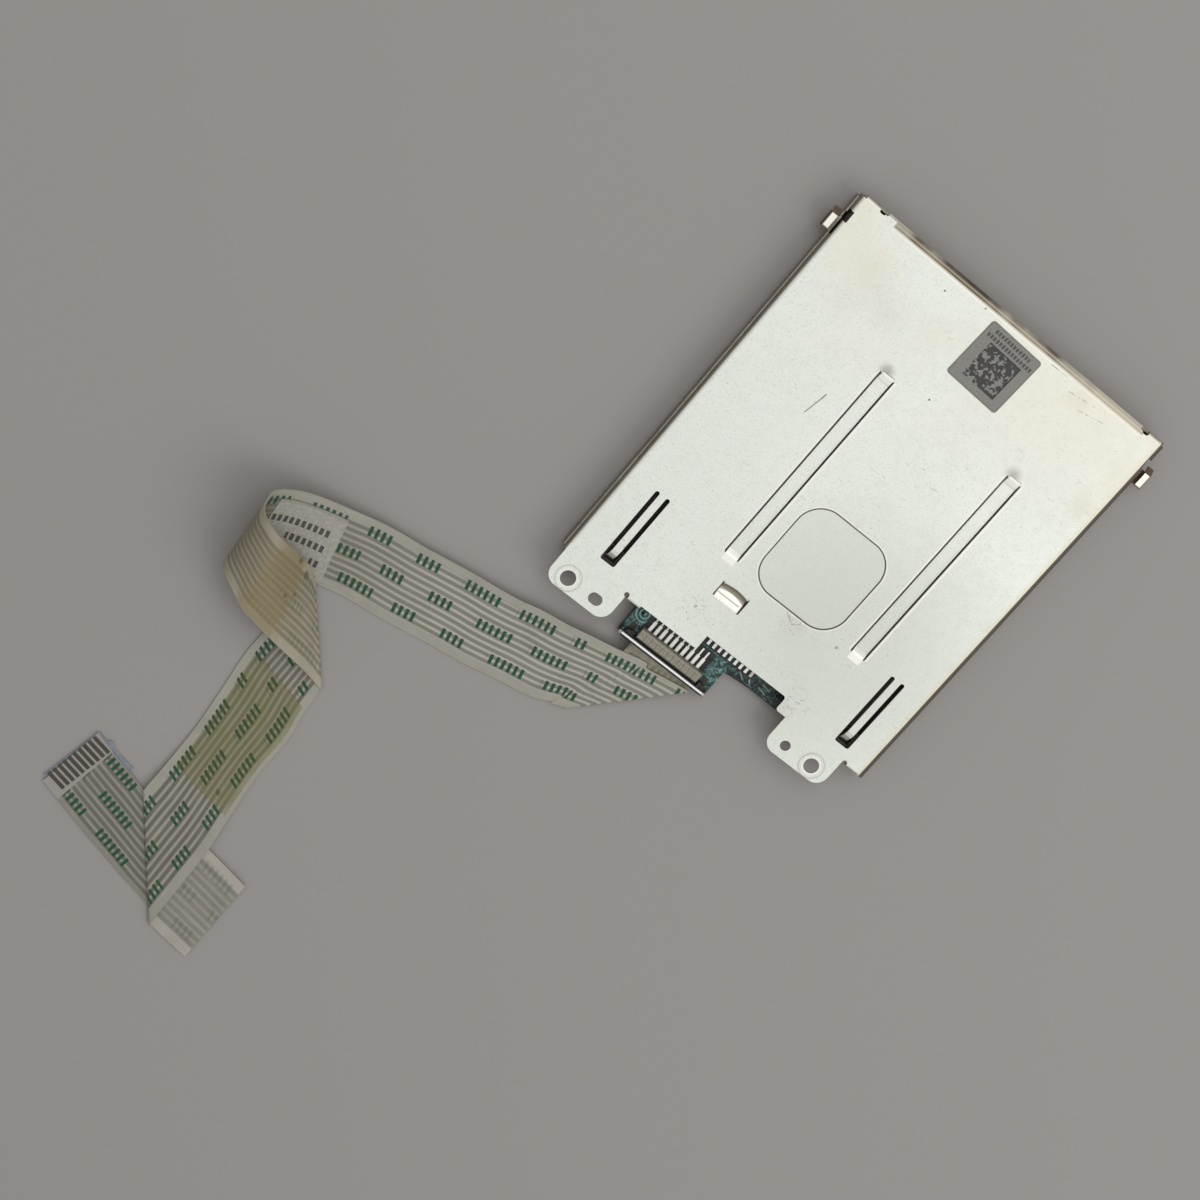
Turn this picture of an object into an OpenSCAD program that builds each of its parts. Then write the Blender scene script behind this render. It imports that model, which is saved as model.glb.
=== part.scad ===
// Smart card reader board with its folded flat cable, at rest on a table.
// X runs across the card slot, Y from the rear to the slot, Z up from the table.

/* [Case] */
// Width of the cover over its side flanges
cover_width = 56; // [46:0.5:68]
// Depth of the cover from the slot edge to the rear edge, without the ears
cover_depth = 65; // [54:0.5:80]
// Height of the cover's top face over the table
reader_height = 4.4; // [4.2:0.1:6]
// Thickness of the cover's sheet
cover_sheet = 0.3; // [0.2:0.05:0.4]
// Thickness of the bottom shell's sheet
shell_sheet = 0.25; // [0.15:0.05:0.4]
// Outer radius of the cover's bends
bend_radius = 0.5; // [0.45:0.05:0.7]

/* [Rear ears] */
// Length of the two ears behind the cover
ear_length = 5.1; // [4.2:0.1:9]
// Diameter of the two screw holes
screw_hole = 2.35; // [1.8:0.05:2.8]
// Distance from the ears' rear edge to the holes' line
hole_from_edge = 2; // [1.8:0.1:3]

/* [Card channel] */
// Height of the slot between the deck and the cover
card_gap = 1.35; // [1:0.05:1.6]
// Thickness of each guide rail
rail_wall = 0.55; // [0.4:0.05:1]
// Thickness of the deck under the card
deck_thickness = 0.4; // [0.3:0.05:0.6]
// Distance from the card stop to the middle of the contact field
field_from_stop = 15.06; // [12:0.1:18]
// Height of the contact springs over the deck
spring_lift = 0.6; // [0.3:0.05:0.8]

/* [Circuit board] */
// Thickness of the circuit board
board_thickness = 0.8; // [0.6:0.1:1]
// Length of the board's tail behind the cover
tail_length = 5.7; // [5.5:0.1:8]

/* [Flat cable] */
// Width of the cable
cable_width = 11; // [10.6:0.1:11.2]
// Number of conductors
conductors = 10; // [4:1:10]
// Distance between two conductors
conductor_pitch = 1; // [0.8:0.05:1]
// Thickness of the cable
cable_thickness = 0.2; // [0.1:0.05:0.25]
// How far the connector's slider opens
slider_travel = 1; // [0.3:0.1:1.2]

/* [Hidden] */
$fn = 48;
W = cover_width / 2;
D = cover_depth;
H = reader_height;
slip = 0.05;
// Half the width at the inside of the cover's flanges
Wi = W - cover_sheet;
// Half the width of the channel
Wc = Wi - rail_wall;
shell_out = W + slip + shell_sheet;
lug_out = W + 1.8;
slider_rear = D + 5.45;
row_y = (D + 5.9) / 2;
// Levels
cover_under = H - cover_sheet;
deck_top = cover_under - card_gap;
deck_under = deck_top - deck_thickness;
board_lift = 0.3;
board_under = shell_sheet + board_lift;
board_top = board_under + board_thickness;
lead_sheet = 0.15;
lead_mid = deck_under - lead_sheet / 2;
flange_foot = 1.6;
wall_top = 2.35;
// Card stop and contact field
stop_y = -D + 4.8;
stop_rear = -D + 2.8;
field_x = 3;
field_y = stop_y + field_from_stop;
row_gap = 7.62;
column_gap = 2.54;
rear_row = field_y - row_gap / 2;
front_row = field_y + row_gap / 2;
spring_reach = 4.6;
spring_width = 0.8;
window_width = 1.2;
lane = column_gap / 2;
tail_pitch = 1;
tail_x0 = -2.25;
tail_count = 9;
// Cover openings
tongue_x = W - 5.9;
tongue_width = 1.15;
slot_width = 0.7;
tongue_front = -D + 14.9;
tongue_rear = -D + 2.15;
tongue_tip = -D + 2.9;
rib_gap = 23.8;
rib_width = 2.4;
rib_front = -17.4;
rib_rear = -D + 13.95;
rib_depth = 0.25;
pad_x = 2.43;
pad_y = -D + 20.7;
louvre_x = -4.97;
rib_slit = 0.15;
// Recess in the rear edge over the second solder row, from left to right
notch = [-3.85, 11.1];
notch_round = 0.5;
// Ears: inner and outer edge, from the middle
ear_left = [-W + 0.1, -W + 11.2];
ear_right = [W - 15, W - 4];
ear_rear = -D - ear_length;
hole_y = ear_rear + hole_from_edge;
hole_left = -W + 3.1;
hole_right = W - 7.1;
pin_left = -W + 8.1;
pin_right = W - 12.1;
// Presence switch at the right of the stop
switch_x = W - 9.5;
switch_y = stop_y - 0.8;
// Connector
conn_x = -5.7;
conn_half = 5.6;
conn_front = -D - 2.6;
conn_rear = -D - 4.5;
conn_slot = [board_top + 0.4, board_top + 0.92];
cable_z = conn_slot[0] + 0.02 + cable_thickness / 2;
bar_under = conn_slot[1] + 0.08;
bar_top = bar_under + 0.5;
lid_top = conn_slot[1] + 0.4;
bar_front = -slider_rear + 0.83;
ridge_y = -slider_rear + 0.45;
// How far the shut slider reaches into the housing
slider_reach = 0.6 * slider_travel;
terminal_wide = 0.5;
stiffener_sheet = 0.14;

// Cable route: the two edges of each cross-section, measured from the
// middle of the slot edge, with the cover's depth taken out of Y.
dy = 65 - D;
cx = -5.6;
hw = cable_width / 2;
// What is slit off each edge at the plug end
slit = 0.75;
plug_rings = [
  [[cx + hw, -68.4, cable_z], [cx - hw, -68.4, cable_z]],
  [[cx + hw, -69.9, cable_z], [cx - hw, -70.4, cable_z]],
  [[cx + hw + 0.02, -70.5, cable_z - 0.03], [cx - hw, -71.8, 1.72]],
  [[cx + hw + 0.06, -70.8, cable_z - 0.06], [cx - hw + 0.05, -75.5, 1.1]],
  [[cx + hw + 0.1, -70.95, cable_z - 0.075], [cx - hw + 0.08, -78.4, 0.62]],
  [[cx + hw + 0.12, -71, cable_z - 0.08], [cx - hw - slit, -78.6, 0.6]]
];
route_rings = [
  [[0.07, -71.1, 1.78], [-11.95, -84.85, 0.16]],
  [[0.18, -71.22, 1.92], [-11.85, -85, 0.3]],
  [[0.07, -71.1, 2.06], [-11.95, -84.85, 0.46]],
  [[-3.7, -71.65, 2.02], [-12.9, -85.2, 0.5]],
  [[-7.1, -72.12, 1.98], [-14, -85.6, 0.5]],
  [[-7.25, -71.62, 1.98], [-14.05, -85.62, 0.5]],
  [[-11.95, -72.59, 1.85], [-13.93, -85.31, 0.45]],
  [[-15.97, -73.4, 1.75], [-15.41, -86.11, 0.35]],
  [[-19.91, -74.28, 1.6], [-17.99, -86.97, 0.3]],
  [[-24.04, -74.93, 1.5], [-21.85, -87.64, 0.25]],
  [[-27.6, -75.81, 1.4], [-25.48, -88.42, 0.2]],
  [[-30.85, -76.34, 1.3], [-28.68, -89.06, 0.2]],
  [[-34.54, -76.8, 1.2], [-32.35, -89.53, 0.18]],
  [[-39.07, -77.55, 1.1], [-36.88, -90.28, 0.15]],
  [[-43.1, -78.21, 1.1], [-41.12, -90.98, 0.15]],
  [[-46.43, -78.57, 1.2], [-44.76, -91.37, 0.2]],
  [[-49.84, -79.04, 1.45], [-48.54, -91.87, 0.2]],
  [[-53.95, -79.94, 1.9], [-50.89, -92.46, 0.25]],
  [[-58.06, -80.72, 2.8], [-55.75, -93.38, 0.5]],
  [[-61.52, -81.57, 4], [-60.09, -94.28, 1.7]],
  [[-63.94, -82.53, 5.4], [-62.81, -95.07, 3.3]],
  [[-65.27, -83.4, 6.8], [-64.23, -95.88, 4.4]],
  [[-65.39, -84.48, 8.2], [-64.48, -96.49, 5.5]],
  [[-65.2, -85.33, 9.5], [-64.15, -96.92, 6.6]],
  [[-64.46, -85.84, 10.5], [-63.25, -97.31, 7.6]],
  [[-63.18, -86.29, 11], [-61.51, -98.09, 8.3]],
  [[-61.23, -87.01, 10.6], [-58.7, -99.63, 8.3]],
  [[-59.17, -87.74, 9], [-56.19, -100.48, 7.4]],
  [[-57.24, -88.65, 6.6], [-53.11, -101.61, 5.8]],
  [[-55.48, -89.66, 4.1], [-49.53, -102.7, 3.9]],
  [[-54.1, -90.48, 2.4], [-45.9, -103.76, 2.1]],
  [[-53.27, -91.25, 1.5], [-43.22, -104.62, 0.95]],
  [[-52.81, -91.81, 1.1], [-41.55, -105.21, 0.46]],
  [[-52.63, -91.83, 0.95], [-41.31, -105.19, 0.3]],
  [[-52.77, -91.91, 0.8], [-41.51, -105.32, 0.14]],
  [[-52.85, -96.2, 0.4], [-41.35, -105.9, 0.12]],
  [[-53.1, -101.8, 0.16], [-41.2, -107.3, 0.11]],
  [[-53.3, -107.4, 0.11], [-41, -110, 0.11]],
  [[-52.69, -113.99, 0.11], [-40.33, -114.32, 0.11]],
  [[-52.12, -121.02, 0.15], [-40.43, -121.27, 0.15]],
  [[-52.02, -127.04, 0.3], [-39.83, -128.51, 0.3]],
  [[-52.1, -130.99, 0.58], [-39, -136.6, 0.7]],
  [[-52.2, -133.2, 0.7], [-38.8, -144.2, 0.7]],
  [[-52.16, -134.13, 0.7], [-38.62, -151.43, 0.7]],
  [[-52.16, -134.42, 0.55], [-38.51, -151.75, 0.55]],
  [[-52.12, -134.27, 0.4], [-38.57, -151.58, 0.4]],
  [[-44.5, -135.2, 0.4], [-36.4, -151.9, 0.4]],
  [[-37.6, -136.3, 0.4], [-33.8, -152.3, 0.4]],
  [[-31.4, -137.48, 0.37], [-31.58, -152.61, 0.37]],
  [[-31.17, -137.57, 0.25], [-31.34, -152.71, 0.25]],
  [[-31.36, -137.59, 0.12], [-31.53, -152.73, 0.12]],
  [[-34.5, -137.3, 0.12], [-35.5, -151.9, 0.12]],
  [[-36.5, -137.3, 0.12], [-37.3, -151.2, 0.12]],
  [[-36.8, -138.5, 0.12], [-37.6, -150.5, 0.12]],
  [[-41.8, -137.5, 0.12], [-39.9, -149.6, 0.12]],
  [[-47.4, -136, 0.14], [-45.4, -148.2, 0.14]],
  [[-54, -133.8, 0.31], [-51.6, -146.4, 0.31]],
  [[-59, -132.4, 0.32], [-56.6, -145, 0.32]],
  [[-62.7, -131.2, 0.32], [-64.6, -142.6, 0.32]]
];
rings = concat(plug_rings, route_rings);
// Glue under what sticks to the cable
film = 0.04;
cable_end = [-63.9, -136.5];
cable_end_turn = 167.7;

function mid(r) = (r[0] + r[1]) / 2;
function unit(v) = v / norm(v);
function around(c, h) = [c - h, c + h];
function clampi(i, n) = max(0, min(n - 1, i));
function along(rs, i) = mid(rs[clampi(i + 1, len(rs))]) - mid(rs[clampi(i - 1, len(rs))]);
function up_of(rs, i) = unit(cross(along(rs, i), rs[i][0] - rs[i][1]));
function shift(p, v) = [p[0] + v[0], p[1] + v[1] + dy, p[2] + v[2]];

// A strip along rings first to last, lying from height a to height b over their
// middle, its edges moved in by the shares in0 and in1 of the width.
module strip(rs, first, last, a, b, in0 = 0, in1 = 0) {
  n = last - first + 1;
  c = 4;
  m = 2 * c + 2;
  pts = [
    for (i = [first:last])
      let (
        u = up_of(rs, i),
        row = [
          for (j = [0:c])
            let (f = in0 + (1 - in0 - in1) * j / c)
            rs[i][0] * (1 - f) + rs[i][1] * f
        ]
      )
      each concat(
        [for (j = [0:c]) shift(row[j], u * b)],
        [for (j = [c:-1:0]) shift(row[j], u * a)]
      )
  ];
  sides = [
    for (i = [0:n - 2])
      for (k = [0:m - 1])
        let (p = m * i + k, q = m * i + (k + 1) % m)
        each [[p, p + m, q + m], [p, q + m, q]]
  ];
  z = m * (n - 1);
  ends = [
    for (j = [0:c - 1])
      let (p = m - 1 - j)
      each [[p, j, j + 1], [p, j + 1, p - 1], [z + p, z + j + 1, z + j], [z + p, z + p - 1, z + j + 1]]
  ];
  polyhedron(points = pts, faces = concat(sides, ends));
}

module place() translate([0, row_y, 0]) children();

module box(x, y, z) translate([x[0], y[0], z[0]]) cube([x[1] - x[0], y[1] - y[0], z[1] - z[0]]);

module round_rect(x, y, r) {
  translate([x[0] + r, y[0]]) square([x[1] - x[0] - 2 * r, y[1] - y[0]]);
  translate([x[0], y[0] + r]) square([x[1] - x[0], y[1] - y[0] - 2 * r]);
  for (px = [x[0] + r, x[1] - r])
    for (py = [y[0] + r, y[1] - r])
      translate([px, py]) circle(r);
}

// A shape drawn in Y and Z, standing from x[0] to x[1].
module side_shape(x, pts) {
  translate([x[0], 0, 0]) rotate([90, 0, 90]) linear_extrude(x[1] - x[0]) polygon(pts);
}

// Outline of a bent sheet drawn along its middle line.
function ribbon_outline(pts, t) = concat(
  [for (p = pts) [p[0], p[1] + t / 2]],
  [for (i = [len(pts) - 1:-1:0]) [pts[i][0], pts[i][1] - t / 2]]
);

// Section of a bend that turns down at the right, its outside at x = 0 and z = top.
module bend_section(top, foot, t, r) {
  difference() {
    union() {
      translate([-r, top - r]) circle(r);
      translate([-r - 0.1, top - t]) square([0.1, t]);
      translate([-t, foot]) square([t, top - r - foot]);
    }
    translate([-r, top - r]) circle(r - t);
    translate([-2 * r - 1, top - 3 * r]) square([r + 1, 2 * r + r - t]);
    translate([-r - 0.01, foot - 1]) square([r + 0.01 - t, top - r - foot + 1]);
  }
}

module side_bend(y, foot) {
  for (s = [0, 1])
    mirror([s, 0, 0])
      translate([W, y[1], 0])
        rotate([90, 0, 0])
          linear_extrude(y[1] - y[0]) bend_section(H, foot, cover_sheet, bend_radius);
}

module end_bend(x, y, foot, turn) {
  translate([turn > 0 ? x[0] : x[1], y, 0])
    rotate([90, 0, turn > 0 ? 90 : -90])
      linear_extrude(x[1] - x[0]) bend_section(H, foot, cover_sheet, bend_radius);
}

// What is left between a square corner at x, y and its rounding; dx and dy point inwards.
module corner(x, y, dx, dy) {
  r = abs(dx);
  difference() {
    translate([min(x, x + dx), min(y, y + dy)]) square(r);
    translate([x + dx, y + dy]) circle(r);
  }
}

module plate_outline() {
  flat = W - bend_radius;
  front = -bend_radius;
  translate([-flat, -D + 2.7]) square([2 * flat, D - 2.7 + front]);
  translate([-24, -1]) square([48, 0.4]);
  difference() {
    translate([-flat, -D + 0.2]) square([flat + notch[0], 3]);
    corner(notch[0], -D + 0.2, -notch_round, notch_round);
  }
  difference() {
    translate([notch[1], -D + 0.3]) square([flat - notch[1], 3]);
    corner(notch[1], -D + 0.3, notch_round, notch_round);
  }
  corner(notch[1], -D + 2.7, -notch_round, -notch_round);
  for (e = [ear_left, ear_right])
    union() {
      round_rect([e[0], e[1]], [ear_rear, -D + 1.4], 2);
      translate([e[0], -D - 0.2]) square([e[1] - e[0], 1.6]);
    }
}

module plate_cuts() {
  for (x = [-24.5, 24.5] * (W / 28))
    translate([x, -0.35]) round_rect([-0.5, 0.5], [-0.4, 1], 0.3);
  for (s = [-1, 1]) {
    translate([s * W - (s > 0 ? 0.5 : 0), -4.8]) square([0.5, 1.8]);
    for (e = [-1, 1])
      translate([s * tongue_x + e * (tongue_width + slot_width) / 2, 0])
        round_rect([-slot_width / 2, slot_width / 2], [tongue_rear, tongue_front], 0.349);
    translate([s * tongue_x - tongue_width / 2 - 0.3, tongue_rear])
      square([tongue_width + 0.6, -D + 4.5 - tongue_rear]);
  }
  for (x = [-1, 1] * rib_gap / 2)
    translate([field_x + x - rib_width / 2, rib_rear])
      square([rib_width, rib_front - rib_rear]);
  translate([louvre_x - 2.42, -D + 8.1]) square([4.84, 2.55]);
  translate([ear_left[1], -D + 0.25]) circle(0.4);
  translate([ear_right[1] + 0.4, -D + 0.3]) circle(0.4);
  translate([hole_left, hole_y]) circle(d = screw_hole);
  translate([hole_right, hole_y]) circle(d = screw_hole);
  translate([pin_left, hole_y]) round_rect([-1.1, 1.1], [-0.87, 0.87], 0.86);
  translate([pin_right, hole_y]) circle(d = 1.6);
}

module top_cover() {
  color([0.88, 0.88, 0.85])
    place()
      difference() {
        union() {
          translate([0, 0, cover_under])
            linear_extrude(cover_sheet)
              difference() {
                plate_outline();
                plate_cuts();
              }
          side_bend([-3, -bend_radius], flange_foot);
          side_bend([-7.4, -4.8], 3.55);
          side_bend([-D, -7.4], flange_foot);
          end_bend([25 * W / 28, W - bend_radius], 0, 3.8, 1);
          end_bend([-W + bend_radius, -25 * W / 28], 0, 3.8, 1);
          end_bend([ear_left[1] + 0.4, -14.1], -D - 0.3, 3.4, -1);
          end_bend([ear_right[1] + 0.8, W - bend_radius], -D, 3.4, -1);
          front_lip();
          for (x = [-1, 1] * rib_gap / 2) pressed_rib(field_x + x);
          pressed_bridge();
          for (s = [-1, 1]) bent_tongue(s * tongue_x);
        }
        translate([pad_x, pad_y, H - 0.14])
          linear_extrude(1)
            difference() {
              round_rect([-7.7, 7.7], [-7.7, 7.7], 4.2);
              round_rect([-7.5, 7.5], [-7.5, 7.5], 4);
            }
        translate([pad_x, pad_y, H - 0.05])
          linear_extrude(1) round_rect([-7.55, 7.55], [-7.55, 7.55], 4.05);
        for (x = [hole_left, hole_right])
          translate([x, hole_y, H - 0.04])
            difference() {
              cylinder(h = 1, d = 4.1);
              translate([0, 0, -1]) cylinder(h = 3, d = 3.7);
            }
      }
}

module front_lip() {
  t = cover_sheet;
  side_shape([-23.6, 23.6] * (W / 28), [
    [-1, cover_under], [-0.7, cover_under], [0, cover_under - 0.16],
    [0, cover_under + t - 0.18], [-0.7, H], [-1, H]
  ]);
}

module pressed_rib(x) {
  t = cover_sheet;
  side_shape([x - rib_width / 2 + rib_slit, x + rib_width / 2 - rib_slit], ribbon_outline([
    [rib_rear - 0.2, H - t / 2], [rib_rear, H - t / 2], [rib_rear + 1, H - t / 2 - rib_depth],
    [rib_front - 1, H - t / 2 - rib_depth], [rib_front, H - t / 2], [rib_front + 0.2, H - t / 2]
  ], t));
}

module pressed_bridge() {
  t = cover_sheet;
  side_shape([louvre_x - 2.3, louvre_x + 2.3], ribbon_outline([
    [-D + 7.9, H - t / 2], [-D + 8.1, H - t / 2], [-D + 9.75, H - t / 2 - 0.42],
    [-D + 10.65, H - t / 2], [-D + 10.8, H - t / 2]
  ], t));
}

module bent_tongue(x) {
  t = cover_sheet;
  side_shape([x - tongue_width / 2, x + tongue_width / 2], [
    [tongue_tip, H - 1.05], [tongue_tip, H - 1.35], [-D + 3.9, H - 0.62],
    [-D + 4.55, H - t], [-D + 4.7, H - t], [-D + 4.7, H], [-D + 4.4, H], [-D + 3.7, H - 0.25]
  ]);
}

// Half section of a wall that rises from the floor with a round bend.
module wall_section(top, r) {
  t = shell_sheet;
  difference() {
    union() {
      translate([-r, r]) circle(r);
      translate([-r - 0.5, 0]) square([0.5, t]);
      translate([-t, r]) square([t, top - r]);
    }
    translate([-r, r]) circle(r - t);
    translate([-2 * r - 0.5, t]) square([r + 0.5, 2 * r]);
    translate([-r - 0.01, r]) square([r + 0.01 - t, top]);
  }
}

module shell_side(y, r) {
  for (s = [0, 1])
    mirror([s, 0, 0])
      translate([shell_out, y[1], 0])
        rotate([90, 0, 0])
          linear_extrude(y[1] - y[0]) wall_section(wall_top, r);
}

module shell_lug() {
  t = shell_sheet;
  box([shell_out - t, lug_out], [-7.2, -4.8], [1.9, 1.9 + t]);
  box([lug_out - t, lug_out], [-7.2, -4.8], [1.9, 3.4]);
  side_shape([W + 0.8, lug_out], [
    [-7.2, 3.4], [-7.2, 3.4 - t], [-4.95, 3.4 - t], [-4.05, 2.35], [-3.85, 2.55], [-4.8, 3.4]
  ]);
}

module bottom_shell() {
  t = shell_sheet;
  color([0.62, 0.58, 0.55])
    place()
      difference() {
        union() {
          box([-shell_out + 1, shell_out - 1], [-D + 0.1, -0.95], [0, t]);
          shell_side([-28.3, -0.95], 0.9);
          shell_side([-32, -28.3], 0.7);
          shell_side([-D + 0.1, -32], 0.5);
          side_shape([-W + 0.45, W - 0.45], [
            [-1.3, 0], [-0.95, 0], [-0.78, 0.12], [-0.3, 2.45], [-0.25, 2.7],
            [-0.5, 2.7], [-0.55, 2.45], [-1.02, t], [-1.3, t]
          ]);
          box([-13.4, 2], [-D - tail_length + 0.4, -D + 0.2], [0, t]);
          box([1.9, 12], [-D - 0.25, -D + 0.2], [0, t]);
          box([-W + 1.2, -15.2], [-D + 0.1, -D + 0.1 + t], [0, 2]);
          box([14, W - 1.2], [-D + 0.1, -D + 0.1 + t], [0, 2]);
          shell_lug();
          mirror([1, 0, 0]) shell_lug();
          for (p = support_spots)
            translate([p[0], p[1], 0]) cylinder(h = board_under, d = 2.6);
        }
        for (p = support_spots)
          translate([p[0], p[1], -1]) cylinder(h = 1 + board_lift, d = 2);
        for (s = [0, 1])
          mirror([s, 0, 0])
            union() {
              box([W - 0.2, shell_out + 0.01], [-7.4, -4.6], [1.9 + t, 3]);
              box([W - 0.2, shell_out + 0.01], [-4.6, -3.6], [1.6, 3]);
            }
      }
}

support_spots = [
  [-W + 6, -D + 31], [W - 7, -D + 31], [-W + 6, -D + 6], [W - 7, -D + 6], [-10, -D - 1.6]
];
clamp_spots = [[-W + 6, -D + 31], [W - 7, -D + 31], [-W + 6, -D + 6], [W - 7, -D + 6]];
leg_spots = [[-14, -12], [14, -12], [0, -D + 41], [-20, -D + 39], [20, -D + 39]];

module card_carrier() {
  color([0.16, 0.16, 0.17])
    place()
      difference() {
        union() {
          for (s = [0, 1])
            mirror([s, 0, 0])
              side_rail();
          box([-Wc, Wc], [stop_rear, -1.2], [deck_under, deck_top]);
          box([-Wc, Wc], [stop_rear, stop_y], [deck_top, cover_under]);
          box([-Wc, -15.2], [-D + 0.7, stop_rear], [shell_sheet, cover_under]);
          box([13.2, Wc], [-D + 0.7, stop_rear], [shell_sheet, cover_under]);
          for (p = clamp_spots)
            translate([p[0], p[1], board_top]) cylinder(h = deck_under - board_top, d = 2.2);
          for (p = leg_spots)
            translate([p[0], p[1], shell_sheet]) cylinder(h = deck_under - shell_sheet, d = 3);
        }
        for (i = [0:3])
          for (y = [rear_row, front_row])
            box(
              [column_x(i) - window_width / 2, column_x(i) + window_width / 2],
              [y - spring_reach - 0.1, y + 2], [deck_under - 1, deck_top + 1]
            );
        for (s = [-1, 1]) {
          box(around(s * tongue_x, 0.95), [-D + 2.5, -D + 4.55], [deck_top + 0.1, H]);
          box(around(s * tongue_x, 1.3), [-D + 2.1, -D + 4.9], [cover_under - 0.35, H]);
        }
        box([switch_x - 11.4, switch_x + 0.6], [switch_y - 0.55, stop_y + 1], [deck_top, H]);
        translate([switch_x, switch_y, deck_under - 1]) cylinder(h = 3, d = 0.7);
        switch_stand();
        side_shape([-Wc, Wc], [[-1.5, deck_top + 0.01], [-1.1, deck_top - 0.3], [-1.1, deck_top + 0.01]]);
      }
}

// Guide rail with a chamfered top edge that clears the inside of the bend.
module side_rail() {
  c = bend_radius - cover_sheet + 0.05;
  translate([0, -1.2, 0])
    rotate([90, 0, 0])
      linear_extrude(D - 1.9)
        polygon([
          [Wc, shell_sheet + 0.6], [Wc, cover_under], [Wi - c, cover_under],
          [Wi, cover_under - c], [Wi, shell_sheet + 0.6], [Wi - 0.5, shell_sheet],
          [Wc - 0.8, shell_sheet], [Wc - 0.8, deck_under], [Wc - 0.1, deck_under]
        ]);
}

module circuit_board() {
  color([0.16, 0.3, 0.3])
    place()
      translate([0, 0, board_under])
        linear_extrude(board_thickness)
          difference() {
            union() {
              translate([-W + 3, -D + 3]) square([2 * W - 7, 31]);
              round_rect([-13.85, 2.42], [-D - tail_length, -D + 4], 0.5);
              polygon([
                [2, -D - 0.8], [2.42, -D - 0.78], [4, -D - 0.62], [7, -D - 0.4],
                [11.9, -D - 0.5], [12.3, -D - 0.1], [12.3, -D + 4], [2, -D + 4]
              ]);
            }
            translate([-12.48, -D - 1.1]) circle(0.22);
          }
}

function column_x(i) = field_x + 0.1 + (i - 1.5) * column_gap;
function lane_x(k) = column_x(0) + k * lane;
function tail_x(k) = tail_x0 + k * tail_pitch;

// Contact k: a spring under the deck's window, its lead and its solder tail.
module contact(k) {
  rear = k % 2 == 0;
  x = column_x(floor(k / 2));
  y = rear ? rear_row : front_row;
  root = y - spring_reach;
  lw = 0.25;
  run = rear ? root : root + 0.35;
  color([0.85, 0.7, 0.35])
    place()
      union() {
        side_shape([x - spring_width / 2, x + spring_width / 2], ribbon_outline([
          [root - 0.4, lead_mid], [root + 0.3, lead_mid], [y - 0.7, deck_top + spring_lift - 0.12],
          [y - 0.1, deck_top + spring_lift], [y + 0.5, deck_top + spring_lift - 0.12],
          [y + 1.6, deck_top - 0.25]
        ], lead_sheet));
        if (!rear) box([x, lane_x(k) + lw], [root - 0.4, root + 0.35], [lead_mid - 0.075, lead_mid + 0.075]);
        translate([0, 0, lead_mid - lead_sheet / 2])
          linear_extrude(lead_sheet)
            polygon([
              [lane_x(k) - lw, run], [lane_x(k) + lw, run],
              [lane_x(k) + lw, stop_y + 3.4], [tail_x(k) + lw, stop_y - 0.6], [tail_x(k) + lw, stop_y - 1.3],
              [tail_x(k) - lw, stop_y - 1.3], [tail_x(k) - lw, stop_y - 0.6], [lane_x(k) - lw, stop_y + 3.4]
            ]);
        solder_tail(k);
      }
}

module solder_tail(k) {
  side_shape([tail_x(k) - 0.22, tail_x(k) + 0.22], ribbon_outline([
    [-D + 1.1, board_top + lead_sheet / 2], [stop_rear - 0.2, board_top + lead_sheet / 2],
    [stop_rear + 0.45, lead_mid], [stop_rear + 0.9, lead_mid]
  ], lead_sheet));
}

module switch_stand() {
  box([switch_x - 11.2, switch_x - 9.8], [switch_y - 0.3, switch_y - 0.15], [deck_under - 0.05, H - 0.6]);
}

module switch_contact() {
  k = tail_count - 1;
  color([0.85, 0.7, 0.35])
    place()
      union() {
        switch_stand();
        box(
          [min(tail_x(k) - 0.25, switch_x - 11.2), max(tail_x(k) + 0.25, switch_x - 9.8)],
          [switch_y - 0.5, switch_y], [lead_mid - 0.075, lead_mid + 0.075]
        );
        box([tail_x(k) - 0.22, tail_x(k) + 0.22], [stop_rear + 0.45, switch_y], [lead_mid - 0.075, lead_mid + 0.075]);
        solder_tail(k);
      }
}

// Springy blade on an upright pin; its nose stands in the card's way.
module switch_blade() {
  line = [[0.2, 0], [-3, 0.45], [-6.8, 0.75], [-8.6, 1.3], [-9, 1.4], [-9.4, 1.3], [-10.4, 0.62]];
  color([0.87, 0.72, 0.38])
    place()
      translate([switch_x, switch_y, 0])
        union() {
          translate([0, 0, deck_under]) cylinder(h = H - 0.5 - deck_under, d = 0.6);
          translate([0, 0, deck_top + 0.15])
            linear_extrude(H - 0.5 - deck_top - 0.15)
              polygon(ribbon_outline(line, 0.2));
        }
}

function pin_x(i) = conn_x + (i - (conductors - 1) / 2) * conductor_pitch;

module terminal_shapes() {
  for (i = [0:conductors - 1]) {
    box(around(pin_x(i), 0.13), [-D - 1, -D + 0.3], [board_top, board_top + 0.18]);
    box(around(pin_x(i), 0.25), [-D - 2.9, -D - 0.95], [board_top, board_top + 0.32]);
    box(around(pin_x(i), 0.15), [conn_rear + 0.3, -D - 2.8], [board_top + 0.2, conn_slot[0]]);
  }
}

module connector_terminals() {
  color([0.9, 0.88, 0.8]) place() terminal_shapes();
}

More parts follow.
